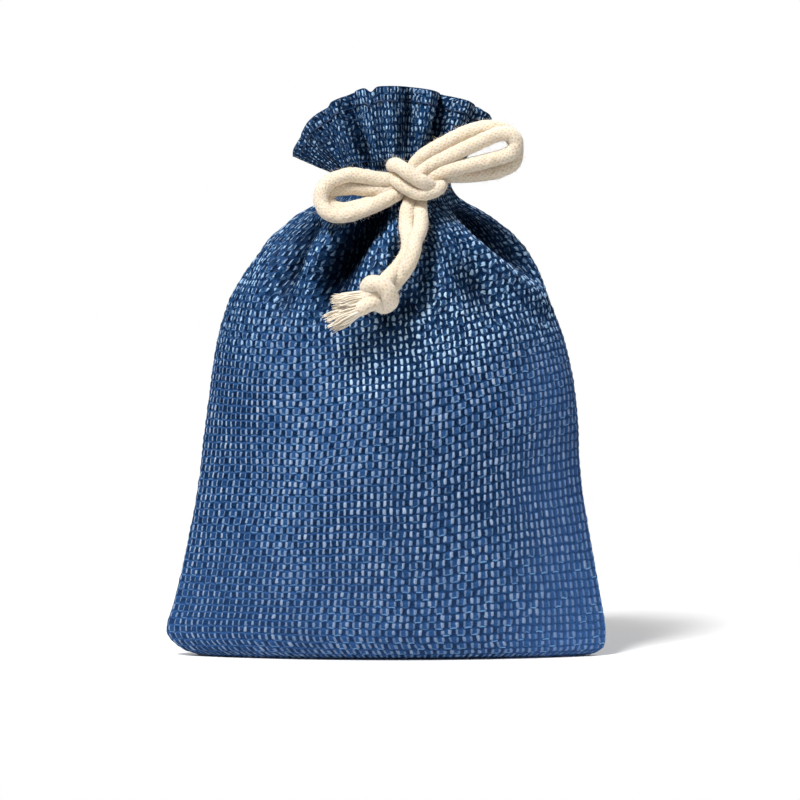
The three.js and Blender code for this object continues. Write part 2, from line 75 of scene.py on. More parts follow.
STITCH_LENGTH = 2.3
STITCH_PITCH = 3.4
STITCH_D = 0.42
STITCH_RISE = 0.22
STITCH_MARGIN = 3.0
HALF_W = POUCH_WIDTH / 2
HALF_D = BELLY_DEPTH / 2
GOLDEN_ANGLE = 2.39996

# Middle of the bow's knot and of the knot at the end of the tail
KNOT = np.array([6.6, -NECK_DEPTH / 2 - 3.5, NECK_HEIGHT + 2.0])
END_KNOT = KNOT + np.array([-8.0, -10.8, -25.6])

# The weave in mm: one cell is one crossing of the yarns, PER_CELL mesh steps wide and high
CELL_X = 1.5
CELL_Z = 1.68
PER_CELL = 4
CELLS_ACROSS = int(round(POUCH_WIDTH / CELL_X))
LINING_ROWS = 14
YARN_RISE = 0.28
CROSS_RISE = 0.16
GAP_SINK = 0.1
ROW_CLIMB = math.tan(math.radians(10.0))
ROW_CLIMB_FROM = -20.0

# The picture in pixels, and the camera
PICTURE_WIDTH = 800
PIXELS_PER_MM = 4.42
SENSOR_WIDTH = 36.0
CAMERA_DISTANCE = 1.35
CAMERA_TILT = math.radians(4.0)
CAMERA_AIM = np.array([3.2, -6.0, 58.8]) * MM
AMBIENT = 0.2


# Camera and light
def look_at(obj, target):
    d = np.array(target) - np.array(obj.location)
    yaw = math.atan2(-d[0], d[1])
    pitch = math.atan2(math.hypot(d[0], d[1]), -d[2])
    obj.rotation_euler = (pitch, 0.0, yaw)


def make_camera():
    cam = bpy.data.cameras.new("camera")
    obj = bpy.data.objects.new("camera", cam)
    bpy.context.collection.objects.link(obj)
    back = np.array([0.0, -math.cos(CAMERA_TILT), math.sin(CAMERA_TILT)])
    obj.location = CAMERA_AIM + CAMERA_DISTANCE * back
    look_at(obj, CAMERA_AIM)
    cam.sensor_width = SENSOR_WIDTH
    cam.lens = SENSOR_WIDTH * CAMERA_DISTANCE / (PICTURE_WIDTH / PIXELS_PER_MM * MM)
    cam.clip_start = 0.05
    cam.clip_end = 20.0
    bpy.context.scene.camera = obj


def area_light(name, place, target, size, power):
    light = bpy.data.lights.new(name, "AREA")
    light.shape = "SQUARE"
    light.size = size
    light.energy = power
    obj = bpy.data.objects.new(name, light)
    bpy.context.collection.objects.link(obj)
    obj.location = place
    look_at(obj, target)


make_camera()

# Lamps: place, target and size in metres, power in watts
area_light("key", (-0.4, -0.6, 1.0), (0, 0, 0.06), 0.3, 19.0)
area_light("fill", (0.9, -0.8, 0.5), (0, 0, 0.06), 0.9, 2.6)
area_light("rim", (0.15, 0.45, 0.95), (0, 0, 0.08), 0.5, 4.0)


# Small node helpers
class Nodes:
    """A material's node tree, with short calls that add a node and link it."""

    def __init__(self, name):
        self.material = bpy.data.materials.new(name)
        self.material.use_nodes = True
        self.tree = self.material.node_tree
        self.bsdf = self.tree.nodes["Principled BSDF"]

    def put(self, socket, value):
        if isinstance(value, bpy.types.NodeSocket):
            self.tree.links.new(value, socket)
        elif isinstance(value, (tuple, list)) and len(value) == 3 and socket.type == "RGBA":
            socket.default_value = (*value, 1.0)
        else:
            socket.default_value = value

    def shader(self, name, value):
        self.put(self.bsdf.inputs[name], value)

    def node(self, kind, **inputs):
        node = self.tree.nodes.new(kind)
        for name, value in inputs.items():
            self.put(node.inputs[name], value)
        return node

    def math(self, op, a, b=None, c=None, clamp=False):
        node = self.tree.nodes.new("ShaderNodeMath")
        node.operation = op
        node.use_clamp = clamp
        for socket, value in zip(node.inputs, (a, b, c)):
            if value is not None:
                self.put(socket, value)
        return node.outputs[0]

    def add(self, a, b):
        return self.math("ADD", a, b)

    def sub(self, a, b):
        return self.math("SUBTRACT", a, b)

    def mul(self, a, b):
        return self.math("MULTIPLY", a, b)

    def times_plus(self, a, times, plus):
        return self.math("MULTIPLY_ADD", a, times, plus)

    def larger(self, a, b):
        return self.math("MAXIMUM", a, b)

    def rest(self, a):
        """What a leaves of 1."""
        return self.math("SUBTRACT", 1.0, a)

    def dim(self, a, mask, share):
        """The value a, less by a share of it where the mask is 1."""
        return self.mul(a, self.times_plus(mask, -share, 1.0))

    def between(self, a, b):
        """Distance between two values."""
        return self.math("ABSOLUTE", self.sub(a, b))

    def ramp(self, value, low, high):
        """Smooth step from 0 at low to 1 at high."""
        node = self.tree.nodes.new("ShaderNodeMapRange")
        node.interpolation_type = "SMOOTHSTEP"
        self.put(node.inputs[0], value)
        node.inputs[1].default_value = low
        node.inputs[2].default_value = high
        return node.outputs[0]

    def fall(self, value, low, high):
        """Smooth step from 1 at low to 0 at high."""
        return self.rest(self.ramp(value, low, high))

    def band(self, value, middle, near, far):
        """1 where the value is within near of the middle, 0 where it is beyond far."""
        return self.fall(self.between(value, middle), near, far)

    def mix(self, fac, a, b):
        node = self.tree.nodes.new("ShaderNodeMix")
        node.data_type = "RGBA"
        self.put(node.inputs[0], fac)
        self.put(node.inputs[6], a)
        self.put(node.inputs[7], b)
        return node.outputs[2]

    def noise(self, vector, scale, detail=2.0, rough=0.5):
        inputs = {"Vector": vector, "Scale": scale, "Detail": detail, "Roughness": rough}
        return self.node("ShaderNodeTexNoise", **inputs).outputs["Fac"]

    def white(self, x, y, z):
        node = self.node("ShaderNodeTexWhiteNoise", Vector=self.combine(x, y, z))
        node.noise_dimensions = "3D"
        return node.outputs["Value"]

    def combine(self, x, y, z=0.0):
        return self.node("ShaderNodeCombineXYZ", X=x, Y=y, Z=z).outputs[0]

    def split(self, vector):
        return tuple(self.node("ShaderNodeSeparateXYZ", Vector=vector).outputs)

    def uv(self, name):
        node = self.tree.nodes.new("ShaderNodeUVMap")
        node.uv_map = name
        return self.split(node.outputs[0])[:2]

    def attribute(self, name):
        node = self.tree.nodes.new("ShaderNodeAttribute")
        node.attribute_name = name
        return node.outputs["Fac"]

    def object_coords(self):
        return self.node("ShaderNodeTexCoord").outputs["Object"]

    def bump(self, height, strength, distance):
        inputs = {"Height": height, "Strength": strength, "Distance": distance}
        return self.node("ShaderNodeBump", **inputs).outputs[0]


def linear(r, g, b):
    out = []
    for v in (r, g, b):
        v /= 255.0
        out.append(v / 12.92 if v <= 0.04045 else ((v + 0.055) / 1.055) ** 2.4)
    return tuple(out)


# Colours of the cloth: the gaps, the cross yarns, the upright yarns, painted highlights, and painted
# shade in folds
NAVY = linear(4, 20, 50)
TEAL = linear(16, 66, 110)
MID_BLUE = linear(56, 92, 148)
ROW_BLUE = linear(58, 98, 154)
FLECK_HIGHLIGHT_BLUE = linear(104, 156, 210)
BRIGHT_BLUE = linear(122, 168, 216)
FRINGE_BLUE = linear(66, 110, 164)
GREY_BLUE = linear(112, 138, 174)
PALE_GREY = linear(180, 192, 208)
SHOULDER_HIGHLIGHT_BLUE = linear(164, 206, 244)
HIGHLIGHT_BLUE = linear(200, 230, 252)
FOLD_SHADE = linear(8, 16, 32)

# Colours of the cord and the sewing thread; the tan is also painted shade in the braid's grooves
CORD_CREAM = linear(230, 217, 196)
YARN_CREAM = linear(242, 231, 212)
CORD_BEIGE = linear(208, 188, 158)
TAN_AND_GROOVE_SHADE = linear(180, 142, 96)
THREAD_DARK = linear(14, 30, 58)
THREAD_LIGHT = linear(34, 62, 102)

# Where the look of the cloth changes, in metres: each change starts and ends here
SHOULDERS = (0.078, 0.1)
FOOT = (0.018, 0.058)
LEFT_SIDE = (-0.03, -0.012)
LEFT_HALF = (-0.004, 0.018)
RIGHT_EDGE = (0.03, 0.05)

# Painted highlight: a band that climbs over the belly below the bow, and the heading
HIGHLIGHT_LEVEL = 0.076
HIGHLIGHT_CLIMB = 0.37
HIGHLIGHT_HALF = (0.005, 0.015)
HIGHLIGHT_STARTS = (-0.016, -0.004)
HIGHLIGHT_ENDS = (0.028, 0.04)
HEADING_HIGHLIGHT = (0.104, 0.112)


# Materials
def cloth_zones(n, where):
    """How far each point belongs to the parts of the cloth that look different, 0 to 1.
    Noise is added to the place, so the edges between them wander."""
    x, _, z = n.split(where)
    wide = n.noise(where, 90.0)
    level = n.times_plus(wide, 0.03, z)
    across = n.times_plus(wide, 0.016, x)
    upper = n.ramp(level, *SHOULDERS)
    left_side = n.fall(across, *LEFT_SIDE)
    # Painted highlight band, which climbs to the right over the belly below the bow
    slope = n.times_plus(x, -HIGHLIGHT_CLIMB, n.times_plus(wide, 0.008, z))
    painted_highlight = n.mul(n.band(slope, HIGHLIGHT_LEVEL, *HIGHLIGHT_HALF), n.ramp(x, *HIGHLIGHT_STARTS))
    painted_highlight = n.mul(painted_highlight, n.fall(across, *HIGHLIGHT_ENDS))
    return SimpleNamespace(
        patch=n.noise(where, 38.0),
        upper=upper, left_side=left_side,
        foot=n.fall(level, *FOOT),
        left_half=n.fall(across, *LEFT_HALF),
        right_edge=n.mul(n.ramp(across, *RIGHT_EDGE), n.rest(upper)),
        upper_or_left=n.larger(upper, left_side),
        # The painted highlight also lies, weaker, on the heading
        painted_highlight=n.larger(painted_highlight, n.mul(n.ramp(z, *HEADING_HIGHLIGHT), 0.4)),
    )


def weave_yarns(n, zone, u, v):
    """Masks of the yarns. U and V count yarn crossings: a pale upright yarn stands at every
    whole U, and between two of them the cross yarn lies on top in every second cell, with a
    light line along its lower edge here and there. The other cells are gaps."""
    sway_u = n.noise(n.combine(n.mul(u, 1.1), n.mul(v, 0.8)), 1.0, 3.0)
    sway_v = n.noise(n.combine(n.mul(v, 1.0), n.mul(u, 0.9), 5.0), 1.0, 3.0)
    loose = n.times_plus(zone.upper, 0.9, 0.5)
    u = n.times_plus(n.sub(sway_u, 0.5), loose, u)
    v = n.times_plus(n.sub(sway_v, 0.5), loose, v)

    cell_u, cell_v = n.math("FLOOR", u), n.math("FLOOR", v)
    in_cell, up = n.sub(u, cell_u), n.sub(v, cell_v)
    odd = n.math("MODULO", n.add(n.add(cell_u, cell_v), 2000.0), 2.0)
    nearest = n.math("FLOOR", n.add(u, 0.5))
    tone = n.white(nearest, cell_v, 1.3)
    weight = n.white(nearest, cell_v, 7.9)
    wear = n.white(nearest, cell_v, 4.4)

    narrow = n.larger(zone.left_side, n.mul(n.mul(zone.upper, zone.left_half), 0.8))
    half = n.sub(n.times_plus(weight, 0.13, 0.19), n.mul(narrow, 0.09))
    to_yarn = n.math("MINIMUM", in_cell, n.rest(in_cell))
    middle = n.times_plus(tone, 0.18, 0.44)
    reach = n.times_plus(wear, 0.12, n.times_plus(zone.upper, -0.06, 0.33))
    stroke = n.mul(
        n.fall(n.math("DIVIDE", to_yarn, half), 0.25, 1.3),
        n.fall(n.math("DIVIDE", n.between(up, middle), reach), 0.5, 1.25),
    )

    on_top = n.mul(n.rest(odd), n.ramp(zone.patch, 0.32, 0.56))
    on_top = n.dim(on_top, zone.upper_or_left, 0.5)
    often = n.mul(zone.left_half, n.times_plus(zone.upper, -0.35, 0.4))
    chance = n.add(often, n.white(cell_u, cell_v, 3.7))
    line = n.mul(n.mul(n.band(up, 0.09, 0.04, 0.12), on_top), n.ramp(chance, 0.4, 0.8))
    return SimpleNamespace(
        up=up, odd=odd, tone=tone, weight=weight, wear=wear, stroke=stroke, line=line,
        column=n.white(nearest, 0.0, 9.1),
        fibre=n.noise(n.combine(n.mul(u, 11.0), n.mul(v, 1.5)), 1.0, 3.0),
        thread=n.noise(n.combine(n.mul(u, 1.5), n.mul(v, 11.0)), 1.0, 3.0),
        fleck=n.noise(n.combine(n.mul(u, 3.1), n.mul(v, 3.3), 9.0), 1.0),
        cross=n.mul(on_top, n.band(up, 0.45, 0.3, 0.5)),
    )


def gap_colour(n, zone, yarns):
    """Dark gaps between the yarns, hazed by loose fibres and lighter between the rows."""
    haze = n.mul(n.ramp(yarns.fleck, 0.35, 0.7), n.times_plus(zone.upper, 0.1, 0.6))
    gap = n.mix(haze, NAVY, TEAL)
    near_row = n.fall(n.math("MINIMUM", yarns.up, n.rest(yarns.up)), 0.04, 0.2)
    row = n.mul(near_row, n.times_plus(zone.left_half, 0.6, 0.15))
    row = n.dim(n.dim(row, yarns.odd, 0.65), zone.upper, 0.5)
    gap = n.mix(row, gap, ROW_BLUE)
    edge = n.mul(zone.right_edge, n.times_plus(near_row, -0.3, 0.6))
    gap = n.mix(edge, gap, MID_BLUE)
    return n.mix(n.mul(zone.foot, 0.18), gap, MID_BLUE)


def cross_colour(n, zone, yarns):
    cross = n.mix(n.ramp(yarns.thread, 0.35, 0.65), MID_BLUE, TEAL)
    # Painted highlight: sky-blue flecks on the cross yarns of the shoulders
    return n.mix(n.mul(zone.upper, n.ramp(yarns.fleck, 0.45, 0.7)), cross, FLECK_HIGHLIGHT_BLUE)


def upright_colour(n, zone, yarns):
    tone = n.times_plus(yarns.tone, 0.75, n.mul(yarns.column, 0.25))
    upright = n.mix(tone, GREY_BLUE, PALE_GREY)
    upright = n.mix(n.mul(n.ramp(yarns.fibre, 0.45, 0.75), 0.6), upright, FRINGE_BLUE)
    # Painted highlight: icy specks on the upright yarns of the shoulders, where light falls from
    # above
    shoulder_highlight = n.mul(zone.upper, n.times_plus(yarns.weight, 0.6, 0.35))
    upright = n.mix(shoulder_highlight, upright, SHOULDER_HIGHLIGHT_BLUE)
    # Painted highlight: in the highlight band the upright yarns turn almost white
    return n.mix(n.mul(zone.painted_highlight, n.times_plus(yarns.tone, 0.6, 0.4)), upright, HIGHLIGHT_BLUE)


def upright_strength(n, zone, yarns):
    """How strongly the upright yarns show: stronger on the shoulders, at the left and in the
    highlight band, which is painted highlight; some are worn away on the shoulders, and they
    are faint at the right edge and at the foot."""
    strength = n.times_plus(yarns.weight, 0.5, 0.4)
    strength = n.times_plus(zone.upper_or_left, 0.15, strength)
    strength = n.times_plus(zone.upper, 0.25, strength)
    strength = n.math("MULTIPLY_ADD", zone.painted_highlight, 0.5, strength, clamp=True)
    strength = n.dim(strength, n.mul(n.fall(yarns.wear, 0.1, 0.4), zone.upper), 0.7)
    strength = n.dim(strength, zone.right_edge, 0.45)
    return n.dim(strength, zone.foot, 0.36)


def cloth_material():
    """Plain weave of navy and pale grey-blue yarn, with painted highlights, and painted shade where
    the shade attribute is 1.
    """
    n = Nodes("cloth")
    zone = cloth_zones(n, n.object_coords())
    yarns = weave_yarns(n, zone, *n.uv("weave"))
    strength = upright_strength(n, zone, yarns)
    shade = n.attribute("shade")

    cross = n.mul(yarns.cross, n.times_plus(zone.upper, -0.15, 0.8))
    colour = n.mix(cross, gap_colour(n, zone, yarns), cross_colour(n, zone, yarns))
    colour = n.mix(n.mul(yarns.line, 0.8), colour, BRIGHT_BLUE)
    fringe = n.mul(n.ramp(yarns.stroke, 0.1, 0.5), n.times_plus(strength, 0.5, 0.2))
    colour = n.mix(fringe, colour, FRINGE_BLUE)
    upright = n.mul(n.ramp(yarns.stroke, 0.3, 0.85), strength)
    colour = n.mix(upright, colour, upright_colour(n, zone, yarns))
    # Painted shade in folds and gathers, from the shade attribute
    n.shader("Base Color", n.mix(n.mul(shade, 0.84), colour, FOLD_SHADE))

    shine = n.times_plus(yarns.stroke, n.times_plus(zone.upper, 0.25, 0.3), 0.06)
    # No shine where the shade is painted
    n.shader("Specular IOR Level", n.mul(shine, n.rest(shade)))
    n.shader("Roughness", n.times_plus(yarns.fibre, 0.2, 0.34))
    height = n.add(n.mul(yarns.stroke, 0.75), n.mul(yarns.cross, 0.55))
    height = n.add(height, n.mul(yarns.line, 0.15))
    height = n.add(height, n.mul(n.add(yarns.fibre, yarns.thread), 0.2))
    n.shader("Normal", n.bump(height, 0.8, 0.00035))
    return n.material


def braid(n, fuzz, lump):
    """Height and colour of a braid's crossing strands, with painted shade in the grooves
    between them. U runs along the cord in diameters and V once round it."""
    u, v = n.uv("braid")
    turn = n.mul(v, 10.0)
    run = n.times_plus(u, 3.1, n.mul(lump, 1.3))
    ways = []
    for way in (n.add(run, turn), n.sub(run, turn)):
        wave = n.math("ABSOLUTE", n.math("SINE", n.mul(way, math.pi)))
        ways.append(n.math("POWER", wave, 0.7))
    strand = n.larger(*ways)
    height = n.add(n.mul(strand, 0.8), n.mul(fuzz, 0.9))
    height = n.add(height, n.mul(lump, 0.6))
    # Painted shade: tan in the grooves between the strands
    groove_shade = n.mul(n.fall(strand, 0.5, 0.98), lump)
    return height, n.mix(n.mul(groove_shade, 0.75), CORD_CREAM, TAN_AND_GROOVE_SHADE)


def cotton_material(name, braided):
    """Soft natural cotton, as a braided cord or as the loose yarns of its frayed ends."""
    n = Nodes(name)
    where = n.object_coords()
    fuzz = n.noise(where, 2600.0, 3.0, 0.6)
    lump = n.noise(where, 900.0)
    if braided:
        height, colour = braid(n, fuzz, lump)
    else:
        height, colour = fuzz, n.mix(n.mul(lump, 0.12), YARN_CREAM, TAN_AND_GROOVE_SHADE)
    colour = n.mix(n.mul(n.ramp(fuzz, 0.5, 0.72), 0.12), colour, TAN_AND_GROOVE_SHADE)
    patch = n.mul(n.ramp(n.noise(where, 260.0), 0.5, 0.75), 0.3)
    n.shader("Base Color", n.mix(patch, colour, CORD_BEIGE))
    n.shader("Roughness", n.times_plus(fuzz, 0.15, 0.8))
    n.shader("Specular IOR Level", 0.25)
    n.shader("Sheen Weight", 0.35)
    n.shader("Sheen Roughness", 0.6)
    n.shader("Subsurface Weight", 0.3 if braided else 0.05)
    n.shader("Subsurface Radius", (0.0013, 0.0008, 0.0004))
    n.shader("Subsurface Scale", 1.0)
    n.shader("Normal", n.bump(height, 0.8, 0.0002))
    return n.material


def thread_material():
    n = Nodes("thread")
    tone = n.noise(n.object_coords(), 1500.0)
    n.shader("Base Color", n.mix(tone, THREAD_DARK, THREAD_LIGHT))
    n.shader("Roughness", 0.5)
    return n.material


def floor_material():
    """White table under the pouch that fades into the white background around it."""
    n = Nodes("floor")
    where = n.object_coords()
    x, y, _ = n.split(where)
    away = n.math("SQRT", n.add(n.math("POWER", x, 2.0), n.math("POWER", y, 2.0)))
    tone = n.noise(where, 3.0)
    n.shader("Base Color", n.mix(tone, (0.93, 0.93, 0.93), (0.95, 0.95, 0.95)))
    n.shader("Roughness", 0.8)
    n.shader("Specular IOR Level", 0.1)
    clear = n.tree.nodes.new("ShaderNodeBsdfTransparent")
    both = n.tree.nodes.new("ShaderNodeMixShader")
    n.put(both.inputs[0], n.ramp(away, 0.1, 0.24))
    n.put(both.inputs[1], n.bsdf.outputs[0])
    n.put(both.inputs[2], clear.outputs[0])
    n.put(n.tree.nodes["Material Output"].inputs["Surface"], both.outputs[0])
    return n.material


CLOTH = cloth_material()
CORD = cotton_material("cord", braided=True)
YARN = cotton_material("yarn", braided=False)
THREAD = thread_material()


# Mesh helpers
def mesh_object(name, points_mm, faces, material, uv=None, uv_name="weave"):
    """Smooth mesh of points in mm. uv has one row for each point or for each face corner."""
    mesh = bpy.data.meshes.new(name)
    points = np.asarray(points_mm, dtype=np.float64) * MM
    faces = np.asarray(faces, dtype=np.int32)
    count, corners = faces.shape
    mesh.vertices.add(len(points))
    mesh.vertices.foreach_set("co", points.ravel())
    mesh.loops.add(count * corners)
    mesh.loops.foreach_set("vertex_index", faces.ravel())
    mesh.polygons.add(count)
    mesh.polygons.foreach_set("loop_start", np.arange(count, dtype=np.int32) * corners)
    mesh.polygons.foreach_set("loop_total", np.full(count, corners, dtype=np.int32))
    mesh.polygons.foreach_set("use_smooth", np.ones(count, dtype=bool))
    mesh.update(calc_edges=True)
    if uv is not None:
        layer = mesh.uv_layers.new(name=uv_name)
        uv = np.asarray(uv)
        per_loop = uv if len(uv) == count * corners else uv[faces.ravel()]
        layer.data.foreach_set("uv", per_loop.astype(np.float32).ravel())
    mesh.materials.append(material)
    obj = bpy.data.objects.new(name, mesh)
    bpy.context.collection.objects.link(obj)
    return obj


def grid_faces(rows, columns, wrap=False):
    """Four-sided faces between the points of a grid, closed round its columns if wrap."""
    width = columns if wrap else columns - 1
    j, i = np.meshgrid(np.arange(rows - 1), np.arange(width), indexing="ij")
    a = j * columns + i
    b = j * columns + (i + 1) % columns
    c = (j + 1) * columns + (i + 1) % columns
    d = (j + 1) * columns + i
    return np.stack([a, b, c, d], axis=-1).reshape(-1, 4)


def smooth(x):
    """Smooth step from 0 at 0 to 1 at 1."""
    t = np.clip(x, 0.0, 1.0)
    return t * t * (3 - 2 * t)


# Shape of the pouch: share of the neck height, left, right, depth, roundness
BODY_STATIONS = [
    (0.0, -0.86, 0.93, 0.42, 1.5),
    (0.016, -0.94, 0.99, 0.54, 1.6),
    (0.05, -1.0, 1.0, 0.64, 1.9),
    (0.115, -0.965, 0.98, 0.75, 1.8),
    (0.23, -0.905, 0.935, 0.88, 1.6),
    (0.38, -0.85, 0.885, 0.96, 1.45),
    (0.54, -0.806, 0.864, 1.0, 1.3),
    (0.67, -0.764, 0.81, 1.0, 1.2),
    (0.755, -0.71, 0.742, 0.98, 1.12),
    (0.82, -0.63, 0.69, 0.93, 1.05),
    (0.862, -0.56, 0.635, 0.87, 1.0),
    (0.9, -0.485, 0.56, 0.79, 1.0),
    (0.94, -0.385, 0.45, 0.67, 1.0),
    (0.972, -0.265, 0.335, 0.53, 1.0),
]
NECK_SHARE = (
    (NECK_SHIFT - NECK_WIDTH / 2) / HALF_W,
    (NECK_SHIFT + NECK_WIDTH / 2) / HALF_W,
    NECK_DEPTH / BELLY_DEPTH,
)
STATIONS = np.array(
    BODY_STATIONS + [(1.0, *NECK_SHARE, 1.0), (NECK_TOP_SHARE, *NECK_SHARE, 1.0)]
)


def station(share):
    """Left, right, depth in mm and roundness of the section at a share of the height."""
    x = STATIONS[:, 0]
    out = []
    for k in range(1, 5):
        y = STATIONS[:, k]
        low = int(np.clip(np.searchsorted(x, share) - 1, 0, len(x) - 2))
        before = max(0, low - 1)
        after = min(len(x) - 1, low + 2)
        span = x[low + 1] - x[low]
        t = min(1.0, max(0.0, (share - x[low]) / span))
        rise = y[low + 1] - y[low]
        limit = 3 * abs(rise)
        m0 = span * (y[low + 1] - y[before]) / (x[low + 1] - x[before])
        m1 = span * (y[after] - y[low]) / (x[after] - x[low])
        m0 = 0.0 if m0 * rise <= 0 else math.copysign(min(abs(m0), limit), rise)
        m1 = 0.0 if m1 * rise <= 0 else math.copysign(min(abs(m1), limit), rise)
        out.append(
            (2 * t**3 - 3 * t**2 + 1) * y[low]
            + (3 * t**2 - 2 * t**3) * y[low + 1]
            + (t**3 - 2 * t**2 + t) * m0
            + (t**3 - t**2) * m1
        )
    return out[0] * HALF_W, out[1] * HALF_W, out[2] * HALF_D, out[3]


def half_ring(left, right, depth, roundness, places, side):
    """Points of one panel at places from -1 (left seam) to 1 (right seam), spread evenly
    along the cloth. side is -1 for the front panel and 1 for the back one."""
    angle = np.linspace(math.pi, 0.0, 500)
    x = (left + right) / 2 + (right - left) / 2 * np.cos(angle)
    y = depth * np.clip(np.sin(angle), 0, None) ** roundness
    step = np.hypot(np.diff(x), np.diff(y))
    along = np.concatenate([[0.0], np.cumsum(step)])
    goal = (places + 1) / 2 * along[-1]
    return np.interp(goal, along, x), side * np.interp(goal, along, y)


def outward(x, y, side):
    """Level directions that point out of a panel's row of points."""
    dx, dy = np.gradient(x), np.gradient(y)
    size = np.hypot(dx, dy) + 1e-9
    return -side * dy / size, side * dx / size


# Gathers: place, half width, depth, reach down the shoulder (share of the neck height)
FRONT_GATHERS = [
    (-0.86, 0.12, 0.2, 0.16),
    (-0.6, 0.19, 0.7, 0.22),
    (-0.36, 0.18, 1.25, 0.18),
    (-0.1, 0.12, 0.3, 0.16),
    (0.16, 0.2, 1.3, 0.14),
    (0.47, 0.18, 1.1, 0.24),
    (0.79, 0.14, 0.4, 0.2),
]
BACK_GATHERS = [
    (-0.8, 0.15, 0.3, 0.22),
    (-0.52, 0.17, 1.1, 0.28),
    (-0.22, 0.15, 0.6, 0.18),
    (0.08, 0.18, 1.2, 0.3),
    (0.36, 0.14, 0.5, 0.2),
    (0.62, 0.16, 1.0, 0.25),
    (0.87, 0.1, 0.2, 0.18),
]

# Shoulder folds: points (x, z, height, half width) in mm, height below 0 is a valley
FRONT_FOLDS = [
    [(0.4, 103.0, -4.2, 1.9), (-3.2, 99.4, -9.5, 2.4), (-7.2, 93.8, -11.5, 2.8),
     (-10.2, 88.2, -9.5, 3.0), (-11.8, 82.4, -4.6, 3.1), (-12.0, 75.5, 0.0, 3.3)],
    [(-6.0, 100.0, -1.5, 3.2), (-10.4, 93.0, -2.8, 3.4), (-13.0, 87.0, -2.8, 3.4),
     (-14.0, 80.0, 0.0, 3.6)],
    [(-10.8, 98.0, 0.8, 1.6), (-13.8, 93.4, 2.2, 1.8), (-16.0, 89.0, 2.6, 2.0),
     (-16.8, 84.0, 1.8, 2.2), (-16.4, 77.0, 0.0, 2.4)],
    [(2.5, 97.5, 0.9, 2.2), (-1.4, 93.5, 2.2, 2.6), (-4.9, 88.0, 2.0, 2.8), (-7.0, 80.5, 0.0, 3.2)],
    [(4.6, 96.0, -1.2, 1.0), (2.6, 92.5, -1.7, 1.1), (0.8, 88.0, 0.0, 1.3)],
    [(10.5, 103.0, 0.8, 1.3), (15.6, 98.4, 2.1, 1.6), (20.4, 94.2, 2.8, 1.8),
     (26.3, 88.6, 2.5, 2.1), (31.9, 84.0, 1.4, 2.3), (37.0, 78.0, 0.0, 2.6)],
    [(13.0, 104.0, -2.4, 1.5), (19.2, 100.0, -5.2, 2.0), (25.2, 95.0, -6.4, 2.4),
     (30.8, 90.4, -4.8, 2.5), (36.0, 84.0, 0.0, 2.6)],
    [(8.4, 101.5, -3.2, 1.8), (9.4, 94.5, -5.0, 2.3), (9.6, 88.0, -4.0, 2.6), (7.0, 81.5, -2.8, 2.8),
     (0.0, 78.0, -2.0, 2.4), (-8.0, 79.0, 0.0, 2.2)],
    [(17.0, 91.0, -0.6, 1.5), (21.5, 84.0, -2.2, 1.9), (27.0, 75.0, 0.0, 2.6)],
    [(-17.6, 97.5, -3.0, 1.9), (-21.4, 88.5, -4.6, 2.6), (-24.0, 75.5, 0.0, 3.2)],
    [(-25.5, 89.0, 0.8, 2.0), (-29.5, 80.0, 0.7, 2.6), (-31.5, 71.0, 0.0, 2.8)],
]
BACK_FOLDS = [
    [(3.0, 103.0, -2.4, 2.4), (7.0, 98.0, -4.6, 3.0), (11.0, 90.0, -4.2, 3.6),
     (13.0, 81.0, 0.0, 4.2)],
    [(-9.0, 101.0, -1.6, 2.2), (-15.0, 93.0, -3.0, 2.8), (-20.0, 84.0, -1.4, 3.6), (-22, 77, 0, 3)],
    [(17.0, 98.0, -1.2, 2.0), (24.0, 89.0, -2.2, 2.6), (27.0, 78.0, 0.0, 3.2)],
    [(-3.0, 99.0, 0.6, 2.2), (-4.0, 90.0, 1.4, 3.2), (-3.0, 79.0, 0.0, 3.4)],
    [(12.0, 100.0, 0.4, 1.8), (17.5, 91.0, 1.2, 2.4), (20.0, 81.0, 0.0, 2.8)],
]


def gather_amount(gathers, place, share):
    """Depth of the gathers at a place: sharp valleys with round lobes between them."""
    total = np.zeros_like(place)
    for at, half, depth, reach in gathers:
        off = np.clip(np.abs(place - at) / half, 0, 1)
        total += depth * smooth(1 - (1 - share) / reach) * (1 - off) ** 1.7
    return total


def fold_amount(folds, x, z):
    """Height in mm that the folds add to the cloth at each point."""
    total = np.zeros_like(x)
    for fold in folds:
        best = np.full_like(x, 1e9)
        high = np.zeros_like(x)
        wide = np.ones_like(x)
        for (x0, z0, h0, w0), (x1, z1, h1, w1) in zip(fold[:-1], fold[1:]):
            ax, az = x1 - x0, z1 - z0
            t = np.clip(((x - x0) * ax + (z - z0) * az) / (ax * ax + az * az), 0, 1)
            away = np.hypot(x - x0 - t * ax, z - z0 - t * az)
            nearer = away < best
            best = np.where(nearer, away, best)
            high = np.where(nearer, h0 + (h1 - h0) * t, high)
            wide = np.where(nearer, w0 + (w1 - w0) * t, wide)
        total += high * np.exp(-((best / wide) ** 1.7))
    return total


def value_noise(x, y, seed):
    """Smooth noise from -1 to 1 on a unit lattice."""
    table = np.random.default_rng(seed).uniform(-1, 1, (64, 64))
    ix, iy = np.floor(x).astype(int), np.floor(y).astype(int)
    fx, fy = smooth(x - ix), smooth(y - iy)
    a = table[ix % 64, iy % 64]
    b = table[(ix + 1) % 64, iy % 64]
    c = table[ix % 64, (iy + 1) % 64]
    d = table[(ix + 1) % 64, (iy + 1) % 64]
    return (a * (1 - fx) + b * fx) * (1 - fy) + (c * (1 - fx) + d * fx) * fy


